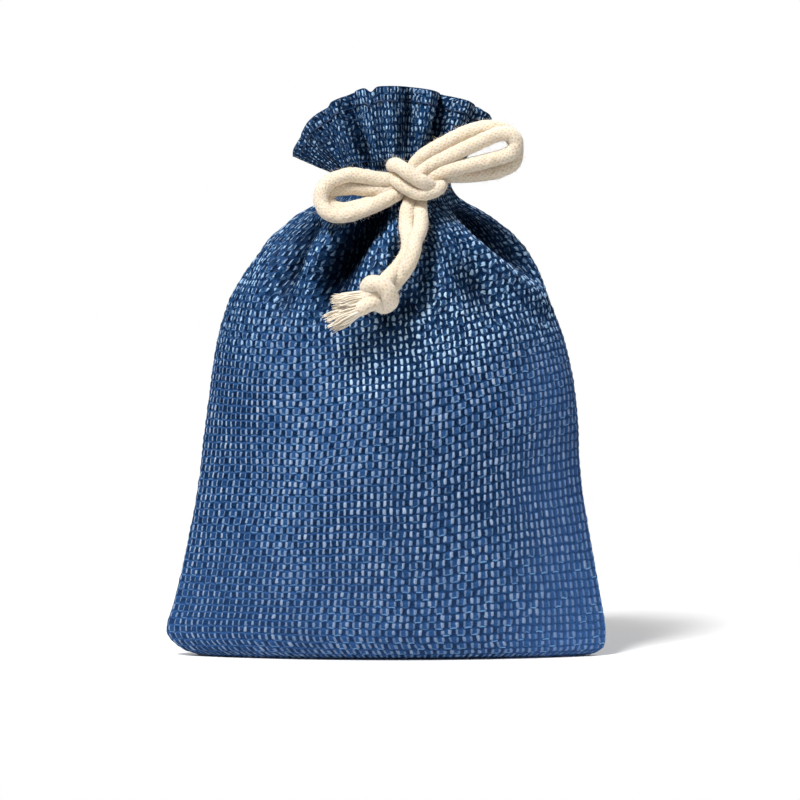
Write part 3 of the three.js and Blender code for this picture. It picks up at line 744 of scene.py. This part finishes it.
def wrinkles(x, z, side):
    """Small puckers that run from the neck down over the shoulders."""
    dx, dz = x - NECK_SHIFT, NECK_HEIGHT + 6.0 - z
    angle = np.arctan2(dx, dz)
    far = np.hypot(dx, dz)
    soft = 1.4 * value_noise(angle * 5.5 + 20, far / 16, 3 + side)
    soft += 1.1 * value_noise(angle * 12 + 30, far / 9, 8 + side)
    soft += 0.3 * value_noise(x / 2.6 + 9, z / 3.1, 21 + side)
    return soft * smooth((far - 7) / 8) * smooth((52 - far) / 26)


def panel_rows():
    """Distances of the cloth's rows along the middle of a panel, from under the base up."""
    shares = np.concatenate([np.linspace(0, 0.05, 40), np.linspace(0.0505, NECK_TOP_SHARE, 500)])
    depth = np.array([station(s)[2] for s in shares])
    z = shares * NECK_HEIGHT
    step = np.hypot(np.diff(z), np.diff(depth))
    along = np.concatenate([[0], np.cumsum(step)])
    body = along[-1]
    heading = math.hypot(NECK_HEIGHT + HEADING_HEIGHT - z[-1], (RIM_DEPTH - NECK_DEPTH) / 2)
    total = UNDER_BASE + body + heading
    cells = int(round(total / CELL_Z))
    return np.linspace(0, total, cells * PER_CELL + 1), body, heading, along, shares


# Rows of a panel along the cloth in mm, and places of its columns from seam to seam
ROWS, BODY, HEADING, ALONG, SHARES = panel_rows()
PLACES = np.linspace(-1, 1, CELLS_ACROSS * PER_CELL + 1)


def panel_surface(side):
    """Smooth surface of one panel, rows by columns by xyz, before the weave, and a painted
    shade for each point, from 0 to 1, by how far it lies down in a fold."""
    gathers = FRONT_GATHERS if side < 0 else BACK_GATHERS
    folds = FRONT_FOLDS if side < 0 else BACK_FOLDS
    rows, shades = [], []
    for s in ROWS:
        if s < UNDER_BASE:
            x, y = half_ring(*station(0.0), PLACES, side)
            y = y * (0.15 + 0.85 * s / UNDER_BASE)
            rows.append(np.stack([x, y, np.full_like(x, CLOTH_LIFT)], axis=-1))
            shades.append(np.zeros_like(x))
        elif s < UNDER_BASE + BODY:
            share = float(np.interp(s - UNDER_BASE, ALONG, SHARES))
            z = np.full_like(PLACES, share * NECK_HEIGHT)
            x, y = half_ring(*station(share), PLACES, side)
            nx, ny = outward(x, y, side)
            gather = PLEAT_NECK * gather_amount(gathers, PLACES, min(1.0, share))
            fold = fold_amount(folds, x, z) * smooth((0.988 - share) / 0.05)
            soft = 0.3 * value_noise(x / 13 + 20, z / 15, 5 + side) * smooth(share / 0.1)
            soft += wrinkles(x, z, side) * smooth((1.0 - share) / 0.05)
            off_seam = smooth((1 - np.abs(PLACES)) / 0.1)
            move = (fold + soft) * off_seam - gather
            near_neck = smooth((share - 0.86) / 0.12)
            # Painted shade: darker the deeper a point lies in a fold or wrinkle, and nearer the neck
            low = (-move - 0.45 * soft - 0.4 - 0.4 * near_neck) / 3.9
            shades.append(np.clip(low, 0, 1) ** 0.8)
            rows.append(np.stack([x + nx * move, y + ny * move, z + CLOTH_LIFT], axis=-1))
        else:
            rise = min(1.0, (s - UNDER_BASE - BODY) / HEADING)
            row = heading_row(rise, side, gathers)
            rows.append(row)
            # Painted shade in the heading's gathers, creases and pleats
            deep = gather_amount(gathers, PLACES, 1.0) * (0.8 - 0.3 * rise) - 0.25
            deep += 0.5 * heading_crease(rise, side)
            if side < 0:
                deep -= 0.36 * fold_amount(HEADING_FOLDS, row[:, 0], row[:, 2])
            shades.append(np.clip(deep, 0, 1))
    return np.array(rows), np.array(shades)


# Pleats and ridges of the front of the heading, as points like those of the folds
HEADING_FOLDS = [
    [(-10.4, 129.0, -1.6, 1.2), (-8.8, 122.0, -2.6, 1.5), (-5.8, 115.5, -2.4, 1.4),
     (-2.8, 110.5, 0.0, 1.2)],
    [(14.0, 126.5, -1.6, 1.3), (12.4, 121.5, -2.8, 1.4), (9.6, 116.0, -1.5, 1.3),
     (7.0, 111.5, 0.0, 1.2)],
    [(4.6, 128.0, -0.6, 1.2), (3.8, 121.0, -1.6, 1.3), (3.2, 114.0, -1.2, 1.2)],
    [(-15.6, 122.0, -0.6, 1.3), (-13.4, 117.0, -1.8, 1.4), (-10.8, 111.5, -0.6, 1.2)],
    [(-6.8, 128.0, 1.0, 1.6), (-4.8, 120.0, 1.5, 1.6), (-1.8, 112.5, 1.0, 1.2)],
    [(9.0, 128.0, 0.6, 1.6), (7.9, 120.0, 1.4, 1.5), (5.6, 114.0, 0.6, 1.2)],
    [(-12.6, 124.0, 0.4, 1.5), (-10.4, 118.0, 1.2, 1.5), (-7.4, 111.5, 0.6, 1.2)],
]


def heading_level(rise, drop):
    """Height of a row of the heading, whose rim hangs by drop below its highest point."""
    bottom, top = NECK_TOP_SHARE * NECK_HEIGHT, NECK_HEIGHT + HEADING_HEIGHT
    return bottom + (top - drop - bottom) * rise


def heading_fold(x, rise, drop, side):
    """Outward height of the heading's pleats in mm."""
    if side > 0:
        return np.zeros_like(x)
    return fold_amount(HEADING_FOLDS, x, heading_level(rise, drop)) * smooth(rise / 0.15)


def heading_crease(rise, side):
    """Fine creases of the heading in mm, which run up from the neck."""
    row = np.full_like(PLACES, rise * 1.3)
    crease = 0.95 * value_noise(PLACES * 9 + 5, row, 41 + side)
    crease += 0.6 * value_noise(PLACES * 19 + 9, row + 0.5, 43 + side)
    return crease * (1 - 0.55 * rise) * smooth((1 - np.abs(PLACES)) / 0.06) * smooth(rise / 0.12)


def heading_row(rise, side, gathers, wall=0.0):
    """One row of the heading, at a rise from 0 (neck) to 1 (rim), set in by the wall."""
    flare = rise**0.9
    left = (1 - flare) * (NECK_SHIFT - NECK_WIDTH / 2) + flare * (RIM_SHIFT - RIM_WIDTH / 2)
    right = (1 - flare) * (NECK_SHIFT + NECK_WIDTH / 2) + flare * (RIM_SHIFT + RIM_WIDTH / 2)
    depth = ((1 - rise) * NECK_DEPTH + rise * RIM_DEPTH) / 2
    centre, reach = (left + right) / 2, (right - left) / 2
    x, y = half_ring(left, right, depth, 1.0, PLACES, side)
    nx, ny = outward(x, y, side)
    gather = gather_amount(gathers, PLACES, 1.0)
    pleat = PLEAT_NECK + (PLEAT_RIM - PLEAT_NECK) * rise
    crease = heading_crease(rise, side)
    across = np.clip((x - centre) / reach, -1, 1)
    droop = (RIM_DROOP_RIGHT + RIM_DROOP_LEFT + across * (RIM_DROOP_RIGHT - RIM_DROOP_LEFT)) / 2
    dome = np.clip(1 - across**2, 0, None)
    drop = droop * (1 - dome**0.55) + 0.1 * gather + (RIM_BACK_LOWER * dome if side > 0 else 0.0)
    if side < 0:
        drop = drop + RIM_NOTCH * np.exp(-(((x - RIM_NOTCH_AT) / 0.9) ** 2))
    drop += 0.25 * value_noise(PLACES * 4 + 11, np.full_like(PLACES, 0.5), 31 + side) * dome
    inward = pleat * gather + crease - heading_fold(x, rise, drop, side)
    mx, my = x - nx * inward, y - ny * inward
    z = heading_level(rise, drop)
    ox, oy = mx - centre, my
    size = np.hypot(ox, oy) + 1e-9
    k = np.maximum(0.15, (size - wall) / size)
    return np.stack([centre + ox * k, oy * k, z + CLOTH_LIFT * (1 - rise)], axis=-1)


def grid_normals(grid):
    du = np.gradient(grid, axis=1)
    dv = np.gradient(grid, axis=0)
    n = np.cross(du, dv)
    return n / (np.linalg.norm(n, axis=-1, keepdims=True) + 1e-12)


def weave_uv(grid, side):
    """Yarn counts over a panel: slow drift, and rows that climb to the right."""
    rows, columns, _ = grid.shape
    u, v = np.meshgrid(np.arange(columns) / PER_CELL, np.arange(rows) / PER_CELL)
    x, z = grid[..., 0], grid[..., 2]
    past = np.clip(x - ROW_CLIMB_FROM, 0, None)
    climb = ROW_CLIMB * past**2 / (past + 8.0)
    climb *= smooth(z / 60.0) * smooth((118.0 - z) / 24.0)
    v = v - climb / CELL_Z
    v = v + 0.45 * value_noise(u / 13 + 3, v / 15 + 5, 51 + side)
    u = u + 0.5 * value_noise(u / 12 + 7, v / 14 + 1, 61 + side)
    u = u + 0.12 * value_noise(u / 3 + 17, v / 2.5 + 11, 71 + side)
    return u + (200 if side > 0 else 0), v + 100


def weave_height(u, v, seed):
    """Relief of the weave in mm: upright yarns, floats of the cross yarn and sunk gaps."""
    cu, cv = np.floor(u).astype(int), np.floor(v).astype(int)
    fu, fv = u - cu, v - cv
    rand = np.random.default_rng(seed).uniform(0.7, 1.3, (256, 256))
    k = rand[cu % 256, cv % 256]
    parity = np.where((cu + cv) % 2 == 0, 0.5, -0.9)
    row = np.sin(np.pi * fv) ** 2
    stroke = np.cos(np.pi * fu) ** 2 * (0.55 + 0.45 * row)
    cell = np.sin(np.pi * fu) ** 2 * row * parity
    return (YARN_RISE * stroke + CROSS_RISE * cell) * k - GAP_SINK


def set_shade(obj, values):
    """Store the painted shade of the cloth at each point, from 0 to 1, for its material."""
    layer = obj.data.attributes.new("shade", "FLOAT", "POINT")
    layer.data.foreach_set("value", values)


def make_panel(side, name):
    """Front or back of the pouch, from under the base to the rim, in one sheet."""
    grid, shades = panel_surface(side)
    normals = grid_normals(grid) * -side
    rows, columns, _ = grid.shape
    u, v = weave_uv(grid, side)
    # The weave is flatter where the gathers squeeze its yarns together
    pitch = np.linalg.norm(np.gradient(grid, axis=1), axis=-1) * PER_CELL / CELL_X
    relief = weave_height(u, v, 11 + side) * np.clip(pitch * 1.2, 0.2, 1.0)
    index = np.arange(rows)[:, None] / PER_CELL * CELL_Z
    relief = relief * smooth((index - UNDER_BASE * 0.5) / 4)
    grid = grid + normals * relief[..., None]
    grid[..., 2] = np.maximum(grid[..., 2], LOWEST_YARN)
    faces = grid_faces(rows, columns)
    if side > 0:
        faces = faces[:, ::-1]
    uv = np.stack([u, v], axis=-1).reshape(-1, 2)
    obj = mesh_object(name, grid.reshape(-1, 3), faces, CLOTH, uv)
    set_shade(obj, shades.astype(np.float32).ravel())
    return obj, grid, normals


front, front_grid, front_normals = make_panel(-1, "cloth_front")
back, back_grid, back_normals = make_panel(1, "cloth_back")


def make_lining():
    """Inside of the heading, which narrows to a closed funnel at the neck."""
    rings = []
    for rise in (1.0, *np.linspace(0.97, 0.3, LINING_ROWS)):
        wall = HEADING_WALL if rise < 1 else 0.0
        f = heading_row(rise, -1, FRONT_GATHERS, wall)
        b = heading_row(rise, 1, BACK_GATHERS, wall)
        rings.append(np.concatenate([f[:-1], b[::-1][:-1]]))
    last = rings[-1]
    centre, bottom = np.array([NECK_SHIFT, 0.0]), NECK_HEIGHT + FUNNEL_FLOOR
    for k in (0.7, 0.4, 0.12):
        ring = last.copy()
        ring[:, :2] = centre + (last[:, :2] - centre) * k
        ring[:, 2] = bottom + (last[:, 2] - bottom) * k * 0.8
        rings.append(ring)
    rings = np.array(rings)
    rows, columns, _ = rings.shape
    faces = grid_faces(rows, columns, wrap=True)
    uu, vv = np.meshgrid(np.arange(columns) / PER_CELL, np.arange(rows) * 1.0)
    uv = np.stack([uu, vv * 0.7 + 50], axis=-1).reshape(-1, 2)
    obj = mesh_object("heading_lining", rings.reshape(-1, 3), faces[:, ::-1], CLOTH, uv)
    # Painted shade, deepening down the funnel towards the neck
    down = np.clip(np.arange(rows) / LINING_ROWS, 0, 1) ** 0.8
    set_shade(obj, np.repeat(down, columns).astype(np.float32))
    return obj


lining = make_lining()

# Floor and background
floor = mesh_object(
    "floor",
    [(-4000, -4000, 0), (4000, -4000, 0), (4000, 4000, 0), (-4000, 4000, 0)],
    [(0, 1, 2, 3)],
    floor_material(),
)


def make_world():
    """White behind the object, and a dimmer white light from all round."""
    world = bpy.data.worlds.new("world")
    bpy.context.scene.world = world
    world.use_nodes = True
    tree = world.node_tree
    tree.nodes.clear()
    out = tree.nodes.new("ShaderNodeOutputWorld")
    mix = tree.nodes.new("ShaderNodeMixShader")
    path = tree.nodes.new("ShaderNodeLightPath")
    tree.links.new(path.outputs["Is Camera Ray"], mix.inputs[0])
    for socket, strength in ((mix.inputs[1], AMBIENT), (mix.inputs[2], 1.0)):
        white = tree.nodes.new("ShaderNodeBackground")
        white.inputs[0].default_value = (1, 1, 1, 1)
        white.inputs[1].default_value = strength
        tree.links.new(white.outputs[0], socket)
    tree.links.new(mix.outputs[0], out.inputs[0])


make_world()
bpy.context.scene.view_settings.view_transform = "Standard"


# Cords
def spline(points):
    """Centripetal Catmull-Rom curve through the points, in short steps."""
    p = np.asarray(points, dtype=float)
    p = np.vstack([2 * p[0] - p[1], p, 2 * p[-1] - p[-2]])
    out = []
    for i in range(1, len(p) - 2):
        p0, p1, p2, p3 = p[i - 1 : i + 3]
        t1 = np.linalg.norm(p1 - p0) ** 0.5
        t2 = t1 + np.linalg.norm(p2 - p1) ** 0.5
        t3 = t2 + np.linalg.norm(p3 - p2) ** 0.5
        n = max(2, int(np.ceil(np.linalg.norm(p2 - p1) / CORD_STEP)))
        for t in np.linspace(t1, t2, n, endpoint=False):
            a1 = (t1 - t) / t1 * p0 + t / t1 * p1
            a2 = (t2 - t) / (t2 - t1) * p1 + (t - t1) / (t2 - t1) * p2
            a3 = (t3 - t) / (t3 - t2) * p2 + (t - t2) / (t3 - t2) * p3
            b1 = (t2 - t) / t2 * a1 + t / t2 * a2
            b2 = (t3 - t) / (t3 - t1) * a2 + (t - t1) / (t3 - t1) * a3
            out.append((t2 - t) / (t2 - t1) * b1 + (t - t1) / (t2 - t1) * b2)
    out.append(p[-2])
    return np.array(out)


def frames(line):
    """Tangents and two turning-free side directions along a line."""
    tangent = np.gradient(line, axis=0)
    tangent /= np.linalg.norm(tangent, axis=1, keepdims=True)
    side = np.cross(tangent[0], [0.3, 0.2, 1.0])
    side /= np.linalg.norm(side)
    sides = [side]
    for t in tangent[1:]:
        s = sides[-1] - t * np.dot(sides[-1], t)
        sides.append(s / np.linalg.norm(s))
    sides = np.array(sides)
    return tangent, sides, np.cross(tangent, sides)


def distance_along(line):
    return np.concatenate([[0], np.cumsum(np.linalg.norm(np.diff(line, axis=0), axis=1))])


def tube(name, line, radius, seed):
    """Soft cord along a line, with slightly uneven thickness and rounded ends."""
    tangent, a, b = frames(line)
    along = distance_along(line)
    to_end = np.minimum(along, along[-1] - along)
    near_end = np.clip(to_end / CORD_END_ROUND, 0.0, 1.0)
    radius = radius * np.sqrt(1 - (1 - near_end) ** 2 + 0.002)
    angle = np.linspace(0, 2 * math.pi, CORD_SIDES, endpoint=False)
    s, c = np.sin(angle)[None, :], np.cos(angle)[None, :]
    ring = a[:, None] * c[..., None] + b[:, None] * s[..., None]
    uneven = 0.05 * value_noise(along[:, None] / 1.3 + 1.4 * c, 1.4 * s + 20, seed)
    uneven += 0.035 * value_noise(along[:, None] / 0.5 + 3.2 * c, 3.2 * s + 30, seed + 5)
    points = line[:, None] + ring * (radius[:, None] * (1 + uneven))[..., None]
    rows = len(line)
    faces = grid_faces(rows, CORD_SIDES, wrap=True)
    j, i = np.meshgrid(np.arange(rows - 1), np.arange(CORD_SIDES), indexing="ij")
    corners_u = np.stack([along[j], along[j], along[j + 1], along[j + 1]], axis=-1)
    corners_v = np.stack([i, i + 1, i + 1, i], axis=-1) / CORD_SIDES
    uv = np.stack([corners_u / CORD_D, corners_v], axis=-1).reshape(-1, 2)
    return mesh_object(name, points.reshape(-1, 3), faces, CORD, uv, "braid")


def from_knot(points):
    return np.asarray(points, dtype=float) + KNOT


# The two ends of the drawstring, side by side through both loops of the bow, the knot and
# the tail. Points are from the middle of the bow's knot, in mm.
STRAND_A = from_knot([
    (-2.05, 3.4, -2.0), (-2.6, 1.2, -2.4), (-4.4, -1.2, -3.4), (-7.8, -3.0, -5.1),
    (-12.4, -4.0, -7.1), (-16.4, -4.2, -8.1), (-19.2, -3.8, -7.6), (-20.9, -3.2, -5.7),
    (-21.1, -2.8, -3.3), (-19.7, -2.6, -1.0), (-17.2, -2.4, 0.4), (-14.4, -2.2, 1.0),
    (-11.2, -1.8, 0.6), (-8.0, -1.4, 0.0), (-4.8, -1.0, -0.2), (-2.2, -0.6, 0.4),
    (-0.6, 0.6, 2.2), (0.6, 0.6, 4.0), (2.8, 0.2, 5.8), (6.0, -0.2, 7.7),
    (11.0, -0.2, 10.2), (15.9, 0.2, 11.5), (19.3, 0.6, 11.2), (21.9, 0.8, 9.2),
    (22.7, 0.7, 6.2), (21.8, 0.5, 3.4), (18.6, 0.3, 1.8), (13.0, 0.4, 1.0),
    (7.6, 0.6, 0.7), (3.6, 1.4, 0.2), (0.2, 2.2, 1.0), (-3.0, 2.4, 1.8),
    (-4.2, 1.5, 2.9), (-4.9, -0.6, 3.1), (-4.3, -3.0, 3.2), (-2.8, -4.5, 2.5),
    (-1.1, -5.0, 1.2), (1.2, -4.7, -0.3), (3.4, -3.0, -1.5), (4.2, -0.8, -2.2),
    (2.6, 0.8, -3.0), (0.2, 0.2, -3.6), (-1.2, -1.2, -5.4), (-1.9, -2.6, -8.0),
    (-2.0, -4.4, -10.4), (-1.5, -7.0, -13.2), (-1.6, -8.8, -15.8), (-2.9, -9.6, -18.2),
    (-5.0, -10.5, -20.6), (-6.9, -11.4, -22.8), (-8.4, -11.9, -24.9), (-10.2, -12.0, -25.8),
    (-12.2, -11.9, -26.1),
])
STRAND_B = from_knot([
    (2.05, 3.4, -2.0), (0.6, 2.0, -2.2), (-3.6, 1.4, -2.6), (-8.0, 0.0, -4.4),
    (-12.6, -1.2, -6.2), (-16.6, -1.6, -6.8), (-19.4, -1.2, -5.6), (-20.0, -0.8, -3.8),
    (-18.2, -0.6, -2.4), (-14.9, -0.6, -1.9), (-11.6, -0.6, -2.1), (-8.0, -0.8, -2.5),
    (-4.4, -0.8, -2.3), (-1.2, -0.8, -0.6), (1.8, -0.6, 2.0), (4.6, -1.0, 3.7),
    (7.6, -1.4, 5.1), (11.5, -1.8, 7.0), (15.6, -2.2, 8.9), (19.0, -2.4, 10.2),
    (21.4, -2.4, 9.9), (22.6, -2.2, 8.0), (21.4, -2.0, 5.9), (17.2, -1.8, 4.4),
    (11.5, -1.6, 3.1), (6.4, -1.2, 1.7), (2.6, 0.2, 0.2), (-0.6, 1.6, 0.2),
    (-3.4, 1.0, 0.9), (-4.7, -1.2, 0.4), (-3.4, -3.0, -0.9), (-1.2, -3.7, -2.4),
    (1.1, -3.9, -3.2), (3.3, -3.5, -2.9), (5.2, -2.3, -2.0), (5.7, -0.2, -1.2),
    (4.2, 1.4, -1.8), (2.2, 0.8, -3.2), (1.2, -0.8, -5.0), (1.2, -2.4, -7.2),
    (1.3, -4.2, -9.4), (0.9, -6.6, -11.6), (-0.1, -9.2, -13.8), (-0.5, -10.9, -16.0),
    (-1.4, -11.2, -18.4), (-2.9, -10.6, -20.8), (-4.6, -9.6, -23.0), (-6.8, -9.0, -24.4),
    (-9.0, -9.4, -24.4), (-10.3, -10.8, -23.9), (-10.0, -12.7, -23.1), (-8.4, -14.0, -22.8),
    (-6.8, -14.2, -23.6), (-5.8, -13.4, -25.2), (-5.8, -11.6, -26.8), (-7.0, -10.2, -27.6),
    (-8.3, -11.0, -27.2), (-9.5, -12.5, -27.0), (-11.0, -13.0, -27.7), (-12.8, -12.4, -28.9),
])


def squeeze(line, centre, reach, low):
    """Radius along a cord that is pulled thinner, or pushed thicker, inside a knot."""
    away = np.linalg.norm(line - centre, axis=1)
    return low + (1 - low) * smooth((away - 0.6 * reach) / (0.8 * reach))


line_a = spline(STRAND_A)
line_b = spline(STRAND_B)
rad_a = CORD_D / 2 * squeeze(line_a, KNOT, 6.0, 0.97) * squeeze(line_a, END_KNOT, 4.0, 1.16)
rad_b = CORD_D / 2 * squeeze(line_b, KNOT, 6.5, 0.88) * squeeze(line_b, END_KNOT, 3.8, 1.26)
cord_a = tube("drawstring_end_a", line_a, rad_a, seed=2)
cord_b = tube("drawstring_end_b", line_b, rad_b, seed=9)


def thin_tubes(name, lines, radii, sides, material):
    """Many thin yarns in one mesh. lines is count by points by xyz, in mm."""
    count, rows, _ = lines.shape
    tangent = np.gradient(lines, axis=1)
    tangent /= np.linalg.norm(tangent, axis=2, keepdims=True) + 1e-12
    a = np.cross(tangent, np.array([0.31, 0.17, 0.94]))
    a /= np.linalg.norm(a, axis=2, keepdims=True) + 1e-12
    b = np.cross(tangent, a)
    angle = np.linspace(0, 2 * math.pi, sides, endpoint=False)
    ring = a[:, :, None] * np.cos(angle)[:, None] + b[:, :, None] * np.sin(angle)[:, None]
    points = lines[:, :, None] + ring * radii[:, :, None, None]
    one = grid_faces(rows, sides, wrap=True)
    faces = (one[None] + (np.arange(count) * rows * sides)[:, None, None]).reshape(-1, 4)
    return mesh_object(name, points.reshape(-1, 3), faces, material)


def frayed_end(name, root, tip, spread, count, seed):
    """Loosened yarns of a cut cord end, fanning out from root to tip."""
    rng = np.random.default_rng(seed)
    root, tip = from_knot([root])[0], from_knot([tip])[0]
    axis = (tip - root) / np.linalg.norm(tip - root)
    up = np.array([0.0, 0.0, 1.0]) - axis * axis[2]
    up /= np.linalg.norm(up)
    out = np.cross(axis, up)
    share = np.sqrt((np.arange(count) + 0.5) / count)
    turn = np.arange(count) * GOLDEN_ANGLE + 0.3
    a, b = share * np.cos(turn), share * np.sin(turn)
    t = np.linspace(0, 1, 14)[None, :]
    length = np.linalg.norm(tip - root) * rng.uniform(0.7, 1.2, count)[:, None]
    width = TUFT_RADIUS + (spread - TUFT_RADIUS) * t**1.4
    depth = TUFT_RADIUS + 0.25 * t
    wave = rng.uniform(-0.6, 0.6, (count, 1)) * np.sin(t * 6 + rng.uniform(0, 6, (count, 1))) * t
    wave2 = rng.uniform(-0.35, 0.35, (count, 1)) * np.cos(t * 5 + rng.uniform(0, 6, (count, 1))) * t
    across = a[:, None] * width + wave
    deep = b[:, None] * depth + wave2
    along = t * length - 0.8 * (1 - t)
    lines = root + axis * along[..., None] + up * across[..., None] + out * deep[..., None]
    radii = rng.uniform(0.14, 0.24, (count, 1)) * (1 - 0.25 * t) * np.sqrt(1.02 - t**10)
    return thin_tubes(name, lines, radii, 7, YARN)


tuft_a = frayed_end("frayed_end_a", (-11.0, -11.9, -25.7), (-17.6, -12.6, -27.2), 1.9, 90, 4)
tuft_b = frayed_end("frayed_end_b", (-12.2, -12.2, -28.7), (-18.8, -12.6, -31.6), 2.5, 100, 5)


def fuzz(name, parts, count, seed):
    """Short stray fibres standing off the cords."""
    rng = np.random.default_rng(seed)
    lines = []
    for line, radius in parts:
        tangent, a, b = frames(line)
        pick = rng.integers(4, len(line) - 4, count)
        turn = rng.uniform(0, 2 * math.pi, count)[:, None]
        out = a[pick] * np.cos(turn) + b[pick] * np.sin(turn)
        base = line[pick] + out * (radius[pick] * 0.97)[:, None]
        lean = out * 0.8 + tangent[pick] * rng.uniform(-1.2, 1.2, (count, 1))
        lean += rng.normal(0, 0.35, (count, 3))
        lean /= np.linalg.norm(lean, axis=1, keepdims=True)
        length = rng.uniform(0.3, 1.15, (count, 1))
        curl = rng.normal(0, 0.3, (count, 3)) * length
        lines.append(np.stack([base, base + lean * length * 0.5 + curl * 0.3,
                               base + lean * length + curl], axis=1))
    lines = np.concatenate(lines)
    radii = np.broadcast_to(np.array([0.022, 0.018, 0.008]), lines.shape[:2])
    return thin_tubes(name, lines, radii, 3, YARN)


def stitched(name, rows):
    """Running stitches of the casing and the hem along rows of both panels."""
    lines = []
    for grid, normals in ((front_grid, front_normals), (back_grid, back_normals)):
        for s in rows:
            row = int(np.argmin(np.abs(ROWS - s)))
            points = grid[row] + normals[row] * STITCH_RISE
            along = distance_along(points)
            last = along[-1] - STITCH_MARGIN - STITCH_LENGTH
            for start in np.arange(STITCH_MARGIN, last, STITCH_PITCH):
                at = np.linspace(start, start + STITCH_LENGTH, 7)
                line = np.stack([np.interp(at, along, points[:, k]) for k in range(3)], axis=1)
                lines.append(line)
    lines = np.array(lines)
    radii = np.full(lines.shape[:2], STITCH_D / 2) * np.array([0.4, 0.9, 1, 1, 1, 0.9, 0.4])
    return thin_tubes(name, lines, radii, 6, THREAD)


# Rows of stitches: below and above the casing, and along the hem
stitch_rows = (
    UNDER_BASE + float(np.interp(0.985, SHARES, ALONG)),
    UNDER_BASE + BODY + 0.17 * HEADING,
    UNDER_BASE + BODY + 0.84 * HEADING,
)
seams = stitched("seam_stitches", stitch_rows)
stray = fuzz("cord_fuzz", [(line_a, rad_a), (line_b, rad_b)], FIBRES_PER_CORD, 6)


# What each piece rides on, and the solids that the pieces stand in for, which are hidden
for piece in (front, back, lining, seams, cord_a, cord_b, tuft_a, tuft_b, stray):
    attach(piece, "root")
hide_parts("pouch_cloth")
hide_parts("pouch_cloth")
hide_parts("bow", "tail_strand_left", "end_knot", "drawstring_in_casing")
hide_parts("bow", "tail_strand_right", "end_knot")
